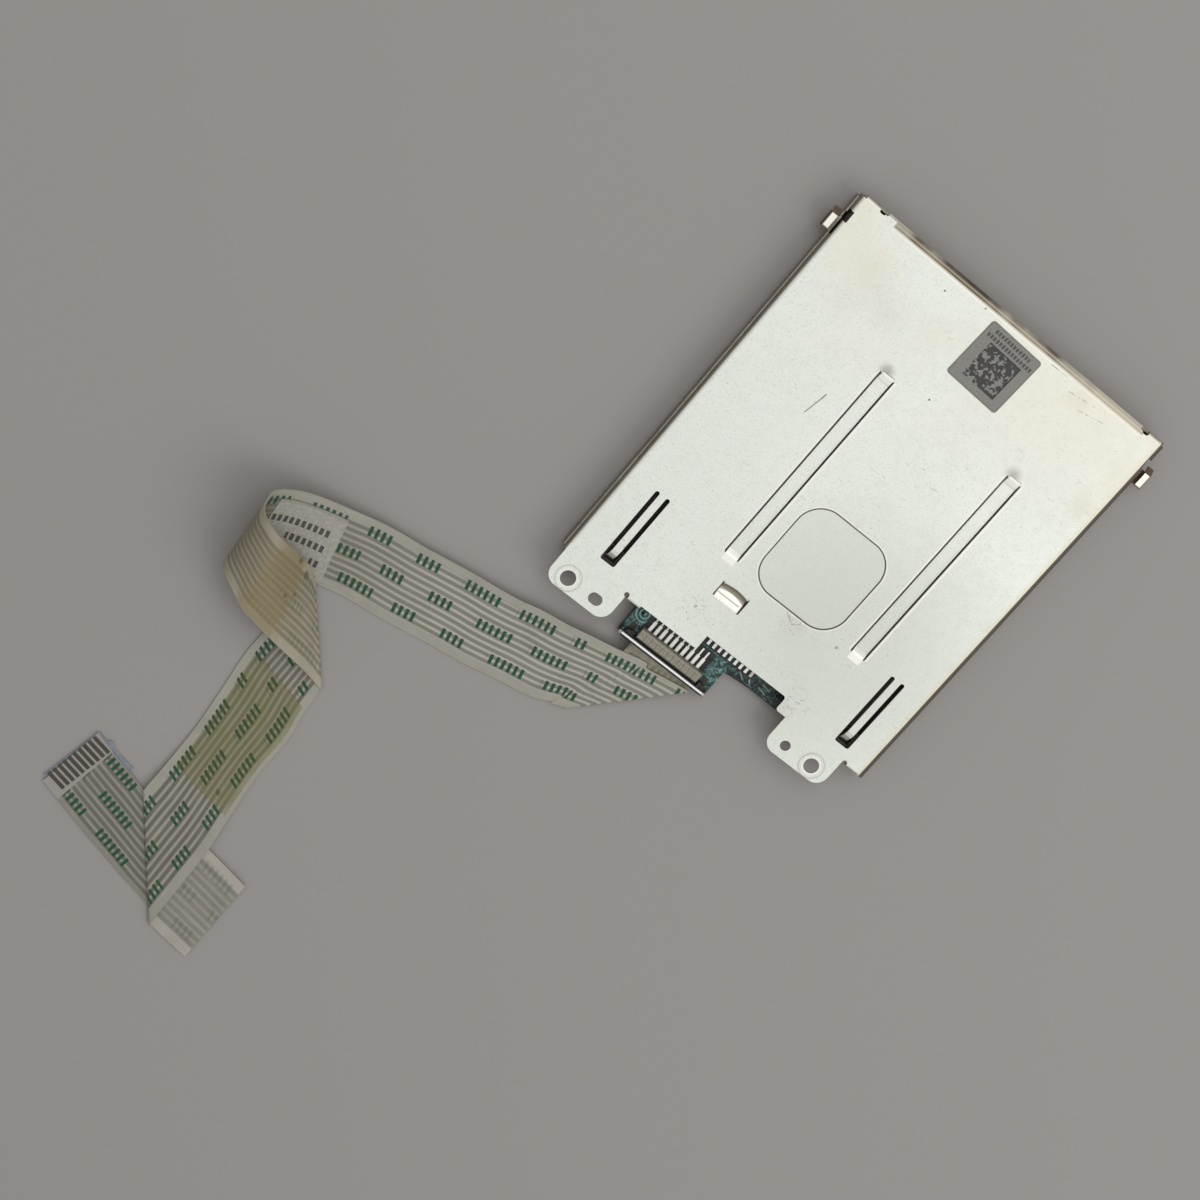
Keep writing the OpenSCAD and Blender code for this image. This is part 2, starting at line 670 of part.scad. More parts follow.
module connector_housing() {
  color([0.6, 0.57, 0.5])
    place()
      difference() {
        union() {
          side_shape(around(conn_x, conn_half), [
            [conn_rear, board_top], [conn_front, board_top], [conn_front, conn_slot[1] + 0.25],
            [conn_front - 0.15, lid_top], [conn_rear + 0.1, lid_top], [conn_rear, lid_top - 0.1]
          ]);
        }
        box(around(conn_x, conn_half + 1), [conn_rear - 1, conn_front - 0.5], conn_slot);
        for (i = [0:conductors - 1])
          box(around(pin_x(i), 0.14), [conn_rear + 0.35, conn_front - 0.45], [lid_top - 0.06, lid_top + 1]);
        terminal_shapes();
      }
}

module tab_shapes() {
  for (s = [-1, 1])
    box([conn_x + s * 6.7 - 0.45, conn_x + s * 6.7 + 0.45], [conn_rear + 0.1, conn_rear + 1.5], [board_top, board_top + 0.12]);
}

module connector_tabs() {
  color([0.75, 0.74, 0.7]) place() difference() {
    tab_shapes();
    box(around(conn_x, conn_half + 0.6), [conn_rear - 1, conn_front + 1], [0, 3]);
  }
}

// Slider: a bar over the cable with a raised ridge, a tongue that presses the cable
// down inside the housing, a foot at each end of the housing and rounded ends.
module connector_slider() {
  color([0.13, 0.12, 0.11])
    place()
      translate([conn_x - 0.1, 0, 0])
        union() {
          side_shape([-7.7, 7.7], [
            [-slider_rear, bar_under], [bar_front, bar_under], [bar_front, bar_top - 0.15],
            [bar_front - 0.1, bar_top - 0.06], [ridge_y + 0.14, bar_top - 0.04], [ridge_y + 0.12, bar_top + 0.03],
            [ridge_y + 0.05, bar_top + 0.08], [ridge_y - 0.05, bar_top + 0.08], [ridge_y - 0.12, bar_top + 0.03],
            [ridge_y - 0.14, bar_top - 0.04], [-slider_rear + 0.1, bar_top - 0.1], [-slider_rear, bar_top - 0.22]
          ]);
          translate([-7.8, ridge_y - 0.03, bar_under - 0.3]) cylinder(h = bar_top - bar_under + 0.22, d = 0.78);
          translate([7.62, ridge_y - 0.03, bar_under - 0.3]) cylinder(h = bar_top - bar_under + 0.22, d = 0.74);
          for (s = [0, 1])
            mirror([s, 0, 0])
              translate([0, 0, board_top + 0.15])
                linear_extrude(bar_under + 0.25 - board_top - 0.15)
                  polygon([
                    [6.05, ridge_y - 0.35], [6.05, conn_rear + slider_reach + 0.02], [6.35, conn_rear + slider_reach + 0.02],
                    [7, conn_rear + slider_reach - 0.18], [7.4, bar_front], [7.4, ridge_y - 0.35]
                  ]);
          box([-5.3, 5.3], [ridge_y + 0.05, conn_rear + slider_reach], [conn_slot[1] - 0.11, conn_slot[1] - 0.02]);
          box([-5.3, 5.3], [ridge_y + 0.05, bar_front], [conn_slot[1] - 0.11, bar_under + 0.1]);
        }
}

module controller_chip() {
  color([0.14, 0.14, 0.15]) place() box([-18, -12.7], [-D + 19, -D + 27], [board_top + 0.08, board_top + 0.88]);
}

module chip_leads() {
  color([0.75, 0.74, 0.7])
    place()
      for (i = [0:11], s = [-1, 1])
        translate([-15.35, -D + 19.4 + i * 0.65, 0])
          union() {
            box([min(s * 2.65, s * 3.1), max(s * 2.65, s * 3.1)], [-0.11, 0.11], [board_top + 0.36, board_top + 0.5]);
            box([min(s * 2.96, s * 3.1), max(s * 2.96, s * 3.1)], [-0.11, 0.11], [board_top, board_top + 0.5]);
            box([min(s * 2.96, s * 3.6), max(s * 2.96, s * 3.6)], [-0.11, 0.11], [board_top, board_top + 0.14]);
          }
}

module chip_part(x, y, size) {
  translate([x - size[0] / 2, y - size[1] / 2, board_top]) cube(size);
}

module crystal() {
  color([0.78, 0.77, 0.74]) place() chip_part(-15.5, -D + 14, [5, 3.2, 0.8]);
}

module capacitor_left() {
  color([0.6, 0.5, 0.38]) place() chip_part(-19.4, -D + 14, [0.8, 1.6, 0.8]);
}

module capacitor_right() {
  color([0.6, 0.5, 0.38]) place() chip_part(-11.6, -D + 14, [0.8, 1.6, 0.8]);
}

module resistor_left() {
  color([0.12, 0.12, 0.13]) place() chip_part(-16.4, -D + 10.4, [1.6, 0.8, 0.45]);
}

module resistor_right() {
  color([0.12, 0.12, 0.13]) place() chip_part(-13.6, -D + 10.4, [1.6, 0.8, 0.45]);
}

module cover_label() {
  color([0.5, 0.5, 0.48])
    place()
      translate([1.65, -6.92, H])
        rotate([0, 0, -2.4])
          linear_extrude(0.08) round_rect([-4.68, 4.68], [-4.78, 4.78], 0.5);
}

module flat_cable() {
  t = cable_thickness / 2;
  color([0.7, 0.68, 0.62]) place() strip(rings, 0, len(rings) - 1, -t, t);
}

module near_stiffener() {
  t = cable_thickness / 2;
  color([0.45, 0.43, 0.36])
    place()
      strip(rings, 0, 2, t + film, t + film + stiffener_sheet, 0.02, 0.02);
}

module far_end() {
  translate([cable_end[0], cable_end[1] + dy, 0]) rotate([0, 0, cable_end_turn]) children();
}

module far_stiffener() {
  z = 0.32 - cable_thickness / 2 - film;
  color([0.5, 0.54, 0.6])
    place()
      far_end()
        linear_extrude(z)
          union() {
            translate([-7.5, -5.55]) square([7.5, 11.1]);
            for (s = [-1, 1]) translate([-2.6, s * 5.3]) circle(0.75);
          }
}

module far_strips() {
  z = 0.32 + cable_thickness / 2;
  color([0.3, 0.27, 0.24])
    place()
      far_end()
        for (i = [0:conductors - 1])
          box([-3.4, -0.15], around((i - (conductors - 1) / 2) * conductor_pitch, 0.3), [z, z + 0.05]);
}

module cable_label() {
  t = cable_thickness / 2;
  color([0.88, 0.87, 0.84]) place() strip(rings, 23, 25, -t - 3 * film - 0.06, -t - 3 * film, 0.15, 0.08);
}

module tape_patch() {
  t = cable_thickness / 2;
  color([0.6, 0.55, 0.38]) place() strip(rings, 43, 46, -t - film - 0.06, -t - film, 0.12, 0.05);
}

top_cover();
bottom_shell();
card_carrier();
circuit_board();
contact(0);  // contact_1
contact(1);  // contact_2
contact(2);  // contact_3
contact(3);  // contact_4
contact(4);  // contact_5
contact(5);  // contact_6
contact(6);  // contact_7
contact(7);  // contact_8
switch_contact();
switch_blade();
connector_housing();
connector_terminals();
connector_tabs();
connector_slider();
controller_chip();
chip_leads();
crystal();
capacitor_left();
capacitor_right();
resistor_left();
resistor_right();
cover_label();
flat_cable();
near_stiffener();
far_stiffener();
far_strips();
cable_label();
tape_patch();
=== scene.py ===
"""Looks of the smart card reader board with its flat cable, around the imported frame.

Metres, in the frame's own axes: X across the card slot, +Y towards the slot, Z up
from the table. The cable's points are written in millimetres from the middle of the
slot edge, as in the part's source, and placed with at().
"""

import math

import bpy
from mathutils import Matrix, Vector


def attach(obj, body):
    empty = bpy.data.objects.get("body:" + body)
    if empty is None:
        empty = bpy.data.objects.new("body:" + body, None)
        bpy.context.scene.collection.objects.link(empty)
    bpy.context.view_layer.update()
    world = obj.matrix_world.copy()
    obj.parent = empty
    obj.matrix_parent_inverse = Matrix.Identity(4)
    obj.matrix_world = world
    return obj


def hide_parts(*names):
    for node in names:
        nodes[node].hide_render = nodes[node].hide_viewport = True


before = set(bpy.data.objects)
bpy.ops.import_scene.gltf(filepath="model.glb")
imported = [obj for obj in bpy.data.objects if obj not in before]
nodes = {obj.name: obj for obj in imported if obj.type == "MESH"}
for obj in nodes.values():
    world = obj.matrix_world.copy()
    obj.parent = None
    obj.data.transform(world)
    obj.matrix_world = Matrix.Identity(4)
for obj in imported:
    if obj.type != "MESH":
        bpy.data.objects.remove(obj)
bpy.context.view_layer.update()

MM = 0.001
SLOT_EDGE_Y = 35.45  # the slot edge's Y in the frame, in millimetres


def at(x, y, z):
    """A point given in millimetres from the middle of the slot edge."""
    return Vector((x, y + SLOT_EDGE_Y, z)) * MM


# ---- camera

CAMERA_PLACE = (-91.62, 51.35, 336.78)  # millimetres, in the frame
CAMERA_RIGHT = (0.7745, 0.6325, 0.0093)
CAMERA_UP = (-0.598, 0.7368, -0.3156)
CAMERA_BACK = (-0.2065, 0.2389, 0.9488)
LENS = 73.5
SENSOR = 36


def make_camera():
    data = bpy.data.cameras.new("photo_camera")
    data.sensor_width = SENSOR
    data.sensor_fit = "HORIZONTAL"
    data.lens = LENS
    data.clip_start = 0.01
    data.clip_end = 20
    camera = bpy.data.objects.new("photo_camera", data)
    turn = Matrix((CAMERA_RIGHT, CAMERA_UP, CAMERA_BACK)).transposed()
    turn = turn.to_quaternion().normalized().to_matrix().to_4x4()
    camera.matrix_world = Matrix.Translation(Vector(CAMERA_PLACE) * MM) @ turn
    bpy.context.scene.collection.objects.link(camera)
    bpy.context.scene.camera = camera


# ---- cable route

CX = -5.6  # middle of the cable in its connector
HW = 5.5  # half the slit cable's width
SLIT = 0.75  # what is slit off each edge at both ends
FILM = 12.6  # width of the cable that isn't slit
CABLE_Z = 1.87  # height of its middle in the connector
CABLE_THICK = 0.2
SHORTEST = 1e-6  # stands for a length of nothing where it is divided by

# A ring is x, y and z of the upper edge, then of the lower one, in millimetres
PLUG_RINGS = [
    (CX + HW, -68.4, CABLE_Z, CX - HW, -68.4, CABLE_Z),
    (CX + HW, -69.9, CABLE_Z, CX - HW, -70.4, CABLE_Z),
    (CX + HW + 0.02, -70.5, CABLE_Z - 0.03, CX - HW, -71.8, 1.72),
    (CX + HW + 0.06, -70.8, CABLE_Z - 0.06, CX - HW + 0.05, -75.5, 1.1),
    (CX + HW + 0.1, -70.95, CABLE_Z - 0.075, CX - HW + 0.08, -78.4, 0.62),
    (CX + HW + 0.12, -71, CABLE_Z - 0.08, CX - HW - SLIT, -78.6, 0.6),
]
ROUTE_RINGS = [
    (0.07, -71.1, 1.78, -11.95, -84.85, 0.16),
    (0.18, -71.22, 1.92, -11.85, -85, 0.3),
    (0.07, -71.1, 2.06, -11.95, -84.85, 0.46),
    (-3.7, -71.65, 2.02, -12.9, -85.2, 0.5),
    (-7.1, -72.12, 1.98, -14, -85.6, 0.5),
    (-7.25, -71.62, 1.98, -14.05, -85.62, 0.5),
    (-11.95, -72.59, 1.85, -13.93, -85.31, 0.45),
    (-15.97, -73.4, 1.75, -15.41, -86.11, 0.35),
    (-19.91, -74.28, 1.6, -17.99, -86.97, 0.3),
    (-24.04, -74.93, 1.5, -21.85, -87.64, 0.25),
    (-27.6, -75.81, 1.4, -25.48, -88.42, 0.2),
    (-30.85, -76.34, 1.3, -28.68, -89.06, 0.2),
    (-34.54, -76.8, 1.2, -32.35, -89.53, 0.18),
    (-39.07, -77.55, 1.1, -36.88, -90.28, 0.15),
    (-43.1, -78.21, 1.1, -41.12, -90.98, 0.15),
    (-46.43, -78.57, 1.2, -44.76, -91.37, 0.2),
    (-49.84, -79.04, 1.45, -48.54, -91.87, 0.2),
    (-53.95, -79.94, 1.9, -50.89, -92.46, 0.25),
    (-58.06, -80.72, 2.8, -55.75, -93.38, 0.5),
    (-61.52, -81.57, 4, -60.09, -94.28, 1.7),
    (-63.94, -82.53, 5.4, -62.81, -95.07, 3.3),
    (-65.27, -83.4, 6.8, -64.23, -95.88, 4.4),
    (-65.39, -84.48, 8.2, -64.48, -96.49, 5.5),
    (-65.2, -85.33, 9.5, -64.15, -96.92, 6.6),
    (-64.46, -85.84, 10.5, -63.25, -97.31, 7.6),
    (-63.18, -86.29, 11, -61.51, -98.09, 8.3),
    (-61.23, -87.01, 10.6, -58.7, -99.63, 8.3),
    (-59.17, -87.74, 9, -56.19, -100.48, 7.4),
    (-57.24, -88.65, 6.6, -53.11, -101.61, 5.8),
    (-55.48, -89.66, 4.1, -49.53, -102.7, 3.9),
    (-54.1, -90.48, 2.4, -45.9, -103.76, 2.1),
    (-53.27, -91.25, 1.5, -43.22, -104.62, 0.95),
    (-52.81, -91.81, 1.1, -41.55, -105.21, 0.46),
    (-52.63, -91.83, 0.95, -41.31, -105.19, 0.3),
    (-52.77, -91.91, 0.8, -41.51, -105.32, 0.14),
    (-52.85, -96.2, 0.4, -41.35, -105.9, 0.12),
    (-53.1, -101.8, 0.16, -41.2, -107.3, 0.11),
    (-53.3, -107.4, 0.11, -41, -110, 0.11),
    (-52.69, -113.99, 0.11, -40.33, -114.32, 0.11),
    (-52.12, -121.02, 0.15, -40.43, -121.27, 0.15),
    (-52.02, -127.04, 0.3, -39.83, -128.51, 0.3),
    (-52.1, -130.99, 0.58, -39, -136.6, 0.7),
    (-52.2, -133.2, 0.7, -38.8, -144.2, 0.7),
    (-52.16, -134.13, 0.7, -38.62, -151.43, 0.7),
    (-52.16, -134.42, 0.55, -38.51, -151.75, 0.55),
    (-52.12, -134.27, 0.4, -38.57, -151.58, 0.4),
    (-44.5, -135.2, 0.4, -36.4, -151.9, 0.4),
    (-37.6, -136.3, 0.4, -33.8, -152.3, 0.4),
    (-31.4, -137.48, 0.37, -31.58, -152.61, 0.37),
    (-31.17, -137.57, 0.25, -31.34, -152.71, 0.25),
    (-31.36, -137.59, 0.12, -31.53, -152.73, 0.12),
    (-34.5, -137.3, 0.12, -35.5, -151.9, 0.12),
    (-36.5, -137.3, 0.12, -37.3, -151.2, 0.12),
    (-36.8, -138.5, 0.12, -37.6, -150.5, 0.12),
    (-41.8, -137.5, 0.12, -39.9, -149.6, 0.12),
    (-47.4, -136, 0.14, -45.4, -148.2, 0.14),
    (-54, -133.8, 0.31, -51.6, -146.4, 0.31),
    (-59, -132.4, 0.32, -56.6, -145, 0.32),
    (-62.7, -131.2, 0.32, -64.6, -142.6, 0.32),
]
RINGS = PLUG_RINGS + ROUTE_RINGS
# Rings between which the cable has its full width, at the upper and at the lower edge
FULL_UPPER = (11, 58)
FULL_LOWER = (5, 58)
ROW_STEP = 0.6  # millimetres between two rows of the cable's mesh
COLUMNS = 26
LOWEST = 0.02  # height in millimetres under which nothing of the cable reaches


def edge_point(points, i, f):
    """A point of the smooth line through the edge's points, a share f on from point i."""
    last = len(points) - 1
    p0, p1, p2, p3 = (Vector(points[max(0, min(last, i + k))]) for k in (-1, 0, 1, 2))
    if i == 0:
        p0 = p1 * 2 - p2
    if i + 1 == last:
        p3 = p2 * 2 - p1
    knots = [0.0]
    for a, b in ((p0, p1), (p1, p2), (p2, p3)):
        knots.append(knots[-1] + max((b - a).length, SHORTEST) ** 0.5)
    t = knots[1] + (knots[2] - knots[1]) * f
    a1 = p0.lerp(p1, (t - knots[0]) / (knots[1] - knots[0]))
    a2 = p1.lerp(p2, (t - knots[1]) / (knots[2] - knots[1]))
    a3 = p2.lerp(p3, (t - knots[2]) / (knots[3] - knots[2]))
    b1 = a1.lerp(a2, (t - knots[0]) / (knots[2] - knots[0]))
    b2 = a2.lerp(a3, (t - knots[1]) / (knots[3] - knots[1]))
    return b1.lerp(b2, (t - knots[1]) / (knots[2] - knots[1]))


def film_edges(ring):
    """The places of the two edges across the whole film at a ring, in millimetres."""
    upper = 0.0 if FULL_UPPER[0] <= ring <= FULL_UPPER[1] else SLIT
    lower = FILM if FULL_LOWER[0] <= ring <= FULL_LOWER[1] else FILM - SLIT
    return upper, lower


class Row:
    """One cross-section of the cable: its edges, its ring number, and how far across and
    along the film each edge lies."""

    def __init__(self, upper, lower, ring):
        self.upper, self.lower, self.ring = upper, lower, ring
        low, high = film_edges(math.floor(ring)), film_edges(math.ceil(ring))
        f = ring - math.floor(ring)
        self.across = [a + (b - a) * f for a, b in zip(low, high)]
        self.way = [0.0, 0.0]
        self.up = Vector((0, 0, 1))

    def middle(self):
        return (self.upper + self.lower) / 2


def make_rows(rings):
    upper, lower = [r[:3] for r in rings], [r[3:] for r in rings]
    rows = []
    for i in range(len(rings) - 1):
        far = max(
            (Vector(upper[i + 1]) - Vector(upper[i])).length,
            (Vector(lower[i + 1]) - Vector(lower[i])).length,
        )
        steps = max(2, math.ceil(far / ROW_STEP))
        for k in range(steps):
            f = k / steps
            rows.append(Row(edge_point(upper, i, f), edge_point(lower, i, f), i + f))
    rows.append(Row(Vector(upper[-1]), Vector(lower[-1]), len(rings) - 1.0))
    for i, row in enumerate(rows):
        before, after = rows[max(0, i - 1)], rows[min(len(rows) - 1, i + 1)]
        if i:
            row.way = [
                before.way[0] + (row.upper - before.upper).length,
                before.way[1] + (row.lower - before.lower).length,
            ]
        along = after.middle() - before.middle()
        row.up = along.cross(row.upper - row.lower).normalized()
    return rows


ROWS = make_rows(RINGS)
CABLE_LENGTH = sum((b.middle() - a.middle()).length for a, b in zip(ROWS, ROWS[1:]))


def ribbon(name, low, high, first, last, in_upper=0.0, in_lower=0.0, columns=COLUMNS):
    """A strip on the cable between rings first and last, from height low to high over its
    middle, its edges moved in by shares of the width. Its vertices carry "lay": the way
    across and along in millimetres, and the side, +1 on the height's side."""
    rows = [r for r in ROWS if first <= r.ring <= last]
    points, lay = [], []
    for row in rows:
        for side, height in ((1, high), (-1, low)):
            for j in range(columns + 1):
                share = j / columns if side > 0 else 1 - j / columns
                f = in_upper + (1 - in_upper - in_lower) * share
                p = row.upper.lerp(row.lower, f) + row.up * height
                p.z = max(p.z, LOWEST)
                points.append(at(*p))
                across = row.across[0] + (row.across[1] - row.across[0]) * f
                along = row.way[0] + (row.way[1] - row.way[0]) * f
                lay.append((across, along, side))
    ring_size = 2 * (columns + 1)
    faces = []
    for i in range(len(rows) - 1):
        for k in range(ring_size):
            a, b = i * ring_size + k, i * ring_size + (k + 1) % ring_size
            faces.append((a, a + ring_size, b + ring_size, b))
    for base, turn in ((0, 1), (ring_size * (len(rows) - 1), -1)):
        for j in range(columns):
            quad = (base + j, base + j + 1, base + ring_size - 2 - j, base + ring_size - 1 - j)
            faces.append(quad[::turn])
    mesh = bpy.data.meshes.new(name)
    mesh.from_pydata(points, [], faces)
    mesh.update()
    attribute = mesh.attributes.new("lay", "FLOAT_VECTOR", "POINT")
    attribute.data.foreach_set("vector", [v for triple in lay for v in triple])
    piece = bpy.data.objects.new(name, mesh)
    bpy.context.scene.collection.objects.link(piece)
    smooth(piece)
    return piece


def smooth(piece, angle=35):
    """Smooth shading with sharp edges kept."""
    mesh = piece.data
    mesh.shade_smooth()
    mesh.set_sharp_from_angle(angle=math.radians(angle))


def show(piece, material, slot, *replaced):
    piece.data.materials.clear()
    piece.data.materials.append(material)
    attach(piece, "reader")
    if replaced:
        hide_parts(*replaced)
    return piece


# ---- shader helpers
# A node is made in the tree of the first socket among what is fed into it.

ORIGIN = (0.0, 0.0, 0.0)
SHADER = "Principled BSDF"
NUMBER_OUT = ("DISTANCE", "DOT_PRODUCT")  # vector operations whose result is a number
KINDS = {3: "Vector", 4: "Color"}  # a group input's kind by how many numbers it has


def home(values):
    """The tree of the first socket among the values."""
    return next(v for v in values if isinstance(v, bpy.types.NodeSocket)).id_data


def tone(red, green, blue):
    """A colour as the screen shows it, 0 to 255, as the shader wants it."""

    def line(v):
        v /= 255
        return v / 12.92 if v <= 0.04045 else ((v + 0.055) / 1.055) ** 2.4

    return (line(red), line(green), line(blue), 1)


def feed(socket, value):
    """Gives an input its link or value. A colour of three numbers is as the screen shows it."""
    if isinstance(value, bpy.types.NodeSocket):
        socket.id_data.links.new(value, socket)
    elif socket.type == "RGBA" and len(value) == 3:
        socket.default_value = tone(*value)
    else:
        socket.default_value = value


def add(kind, feeds, **props):
    """A node of that kind. feeds gives its inputs by name or number, a socket or a value."""
    node = home(feeds.values()).nodes.new("ShaderNode" + kind)
    for key, value in props.items():
        setattr(node, key, value)
    for key, value in feeds.items():
        feed(node.inputs[key], value)
    return node


def sums(operation, *values, clamp=False):
    feeds = dict(enumerate(values))
    return add("Math", feeds, operation=operation, use_clamp=clamp).outputs[0]


def chain(operation):
    """A function that joins any number of values by one operation, from left to right."""

    def joined(value, *others):
        for other in others:
            value = sums(operation, value, other)
        return value

    return joined


plus, minus, times = chain("ADD"), chain("SUBTRACT"), chain("MULTIPLY")
most, least = chain("MAXIMUM"), chain("MINIMUM")


def absolute(value):
    return sums("ABSOLUTE", value)


def gap(a, b):
    """How far apart two values are."""
    return absolute(minus(a, b))


def blend(share, a, b):
    return add("Mix", {0: share, 6: a, 7: b}, data_type="RGBA").outputs[2]


def between(value, low, high, to_low=0.0, to_high=1.0):
    """value carried smoothly from low..high to to_low..to_high, and kept there."""
    feeds = {0: value, 1: low, 2: high, 3: to_low, 4: to_high}
    return add("MapRange", feeds, interpolation_type="SMOOTHSTEP").outputs[0]


def falling(value, low, high):
    """1 up to low, 0 from high on, smooth between them."""
    return between(value, low, high, 1.0, 0.0)


def spread(field, low, high):
    """A noise, which mostly lies between 0.3 and 0.7, carried to low..high."""
    return between(field, 0.3, 0.7, low, high)


def finish(name, **constants):
    """A new material and its tree; constants are set on the shader's own sockets."""
    material = bpy.data.materials.new(name)
    material.use_nodes = True
    for key, value in constants.items():
        feed(material.node_tree.nodes[SHADER].inputs[key.replace("_", " ")], value)
    return material, material.node_tree


def coat(material, colour, roughness, height, strength, depth):
    """The material with its colour, its roughness and bumps that are depth millimetres deep."""
    feeds = {"Strength": strength, "Distance": depth * MM, "Height": height}
    bumps = add("Bump", feeds).outputs[0]
    for key, value in (("Base Color", colour), ("Roughness", roughness), ("Normal", bumps)):
        feed(material.node_tree.nodes[SHADER].inputs[key], value)
    return material


def spot(tree):
    """The place on the object in millimetres from the middle of the slot edge."""
    place = tree.nodes.new("ShaderNodeTexCoord").outputs["Object"]
    return vectors("MULTIPLY_ADD", place, (1 / MM,) * 3, (0, -SLOT_EDGE_Y, 0))


def split(vector):
    return add("SeparateXYZ", {0: vector}).outputs


def vectors(operation, *values):
    node = add("VectorMath", dict(enumerate(values)), operation=operation)
    return node.outputs[1 if operation in NUMBER_OUT else 0]


def scaled(vector, factor):
    return add("VectorMath", {0: vector, "Scale": factor}, operation="SCALE").outputs[0]


def flattened(vector):
    return vectors("MULTIPLY", vector, (1, 1, 0))


def flat_distance(place, x, y):
    """How far a place lies from x, y, whatever its height."""
    return vectors("DISTANCE", flattened(place), (x, y, 0))


def facing_up(place):
    """How much the surface faces up at a place, from its true normal."""
    node = home([place]).nodes.new("ShaderNodeNewGeometry")
    return split(node.outputs["True Normal"])[2]


def noise(where, size, detail=2.0, colour=False, warp=0.0):
    feeds = {"Vector": where, "Scale": 1.0 / size, "Detail": detail, "Distortion": warp}
    return add("TexNoise", feeds).outputs[1 if colour else 0]


def ramp(value, whole, stops, way="LINEAR"):
    """The colour at value, which goes from 0 to 1; stops are (place of whole, colour)."""
    node = add("ValToRGB", {0: value})
    node.color_ramp.interpolation = way
    elements = node.color_ramp.elements
    for element, (place, colour) in ((elements[0], stops[0]), (elements[1], stops[-1])):
        element.position, element.color = place / whole, tone(*colour)
    for place, colour in stops[1:-1]:
        elements.new(place / whole).color = tone(*colour)
    return node.outputs[0]


def mark_in(colour, share, mark, strength=1.0):
    """colour with mark laid over it where share is high."""
    if strength != 1.0:
        share = times(share, strength)
    return blend(share, colour, mark)


def laid(colour, *marks):
    """colour with marks laid over it in turn, each a share, a mark and often a strength."""
    for mark in marks:
        colour = mark_in(colour, *mark)
    return colour


# ---- shared node groups

GROUPS = {}


def shared(name, outputs=("Mask",), **inputs):
    """Makes a shader node group from the function that follows, with named sockets. An
    input's default also tells its kind, and the output Colour is the only colour."""

    def build(work):
        tree = bpy.data.node_groups.new(name, "ShaderNodeTree")
        for key, value in inputs.items():
            kind = KINDS[len(value)] if isinstance(value, tuple) else "Float"
            socket = tree.interface.new_socket(
                name=key.replace("_", " "), in_out="INPUT", socket_type="NodeSocket" + kind
            )
            socket.default_value = value
        for key in outputs:
            kind = "Color" if key == "Colour" else "Float"
            tree.interface.new_socket(
                name=key, in_out="OUTPUT", socket_type="NodeSocket" + kind
            )
        start = tree.nodes.new("NodeGroupInput")
        end = tree.nodes.new("NodeGroupOutput")
        for key, value in work(start.outputs).items():
            feed(end.inputs[key], value)
        GROUPS[name] = tree
        return work

    return build


def call(name, **feeds):
    """The outputs of a shared group."""
    feeds = {key.replace("_", " "): value for key, value in feeds.items()}
    return add("Group", feeds, node_tree=GROUPS[name]).outputs


@shared("cloudy patches", Place=ORIGIN, Size=10.0, Low=0.4, High=0.6)
def cloudy_patches(ins):
    scale = sums("DIVIDE", 1.0, ins["Size"])
    field = add("TexNoise", {"Vector": ins["Place"], "Scale": scale, "Detail": 3.0})
    return {"Mask": between(field.outputs[0], ins["Low"], ins["High"])}


@shared("frayed stain", Place=ORIGIN, Middle=ORIGIN, Reach=1.0, Core=0.3, Fray=0.3)
def frayed_stain(ins):
    wild = noise(ins["Place"], 0.7, 4.0, colour=True)
    shift = vectors("SUBTRACT", wild, (0.5, 0.5, 0.5))
    shift = scaled(shift, times(ins["Fray"], ins["Reach"]))
    moved = vectors("ADD", ins["Place"], shift)
    far = vectors("DISTANCE", moved, ins["Middle"])
    return {"Mask": falling(sums("DIVIDE", far, ins["Reach"]), ins["Core"], 1.0)}


@shared("drawn line", Place=ORIGIN, Start=ORIGIN, End=(1.0, 0.0, 0.0), Width=0.1, Soft=0.1)
def drawn_line(ins):
    place, start, end = (flattened(ins[key]) for key in ("Place", "Start", "End"))
    way = vectors("SUBTRACT", place, start)
    whole = vectors("SUBTRACT", end, start)
    part = vectors("DOT_PRODUCT", way, whole)
    full = vectors("DOT_PRODUCT", whole, whole)
    share = sums("DIVIDE", part, full, clamp=True)
    far = vectors("DISTANCE", way, scaled(whole, share))
    half = times(ins["Width"], 0.5)
    return {"Mask": falling(far, half, plus(half, ins["Soft"]))}


@shared("soft field", U=0.0, V=0.0, U_low=0.0, U_high=1.0, V_low=0.0, V_high=1.0, Soft=0.1)
def soft_field(ins):
    parts = []
    for key in ("U", "V"):
        low, high = ins[key + " low"], ins[key + " high"]
        parts.append(between(ins[key], minus(low, ins["Soft"]), low))
        parts.append(falling(ins[key], high, plus(high, ins["Soft"])))
    return {"Mask": times(*parts)}


@shared(
    "row of dashes", U=0.0, V=0.0, Start=0.0, End=1.0, Row=0.0, Height=1.0, Pitch=1.0, Fill=0.7
)
def row_of_dashes(ins):
    blur = 0.05
    half = times(ins["Height"], 0.5)
    off = gap(ins["V"], ins["Row"])
    row = falling(off, minus(half, blur), plus(half, blur))
    way = sums("DIVIDE", minus(ins["U"], ins["Start"]), ins["Pitch"])
    dash = sums("LESS_THAN", sums("FRACT", way), ins["Fill"])
    begun = sums("GREATER_THAN", ins["U"], ins["Start"])
    open_end = sums("LESS_THAN", ins["U"], ins["End"])
    return {"Mask": times(row, dash, begun, open_end)}


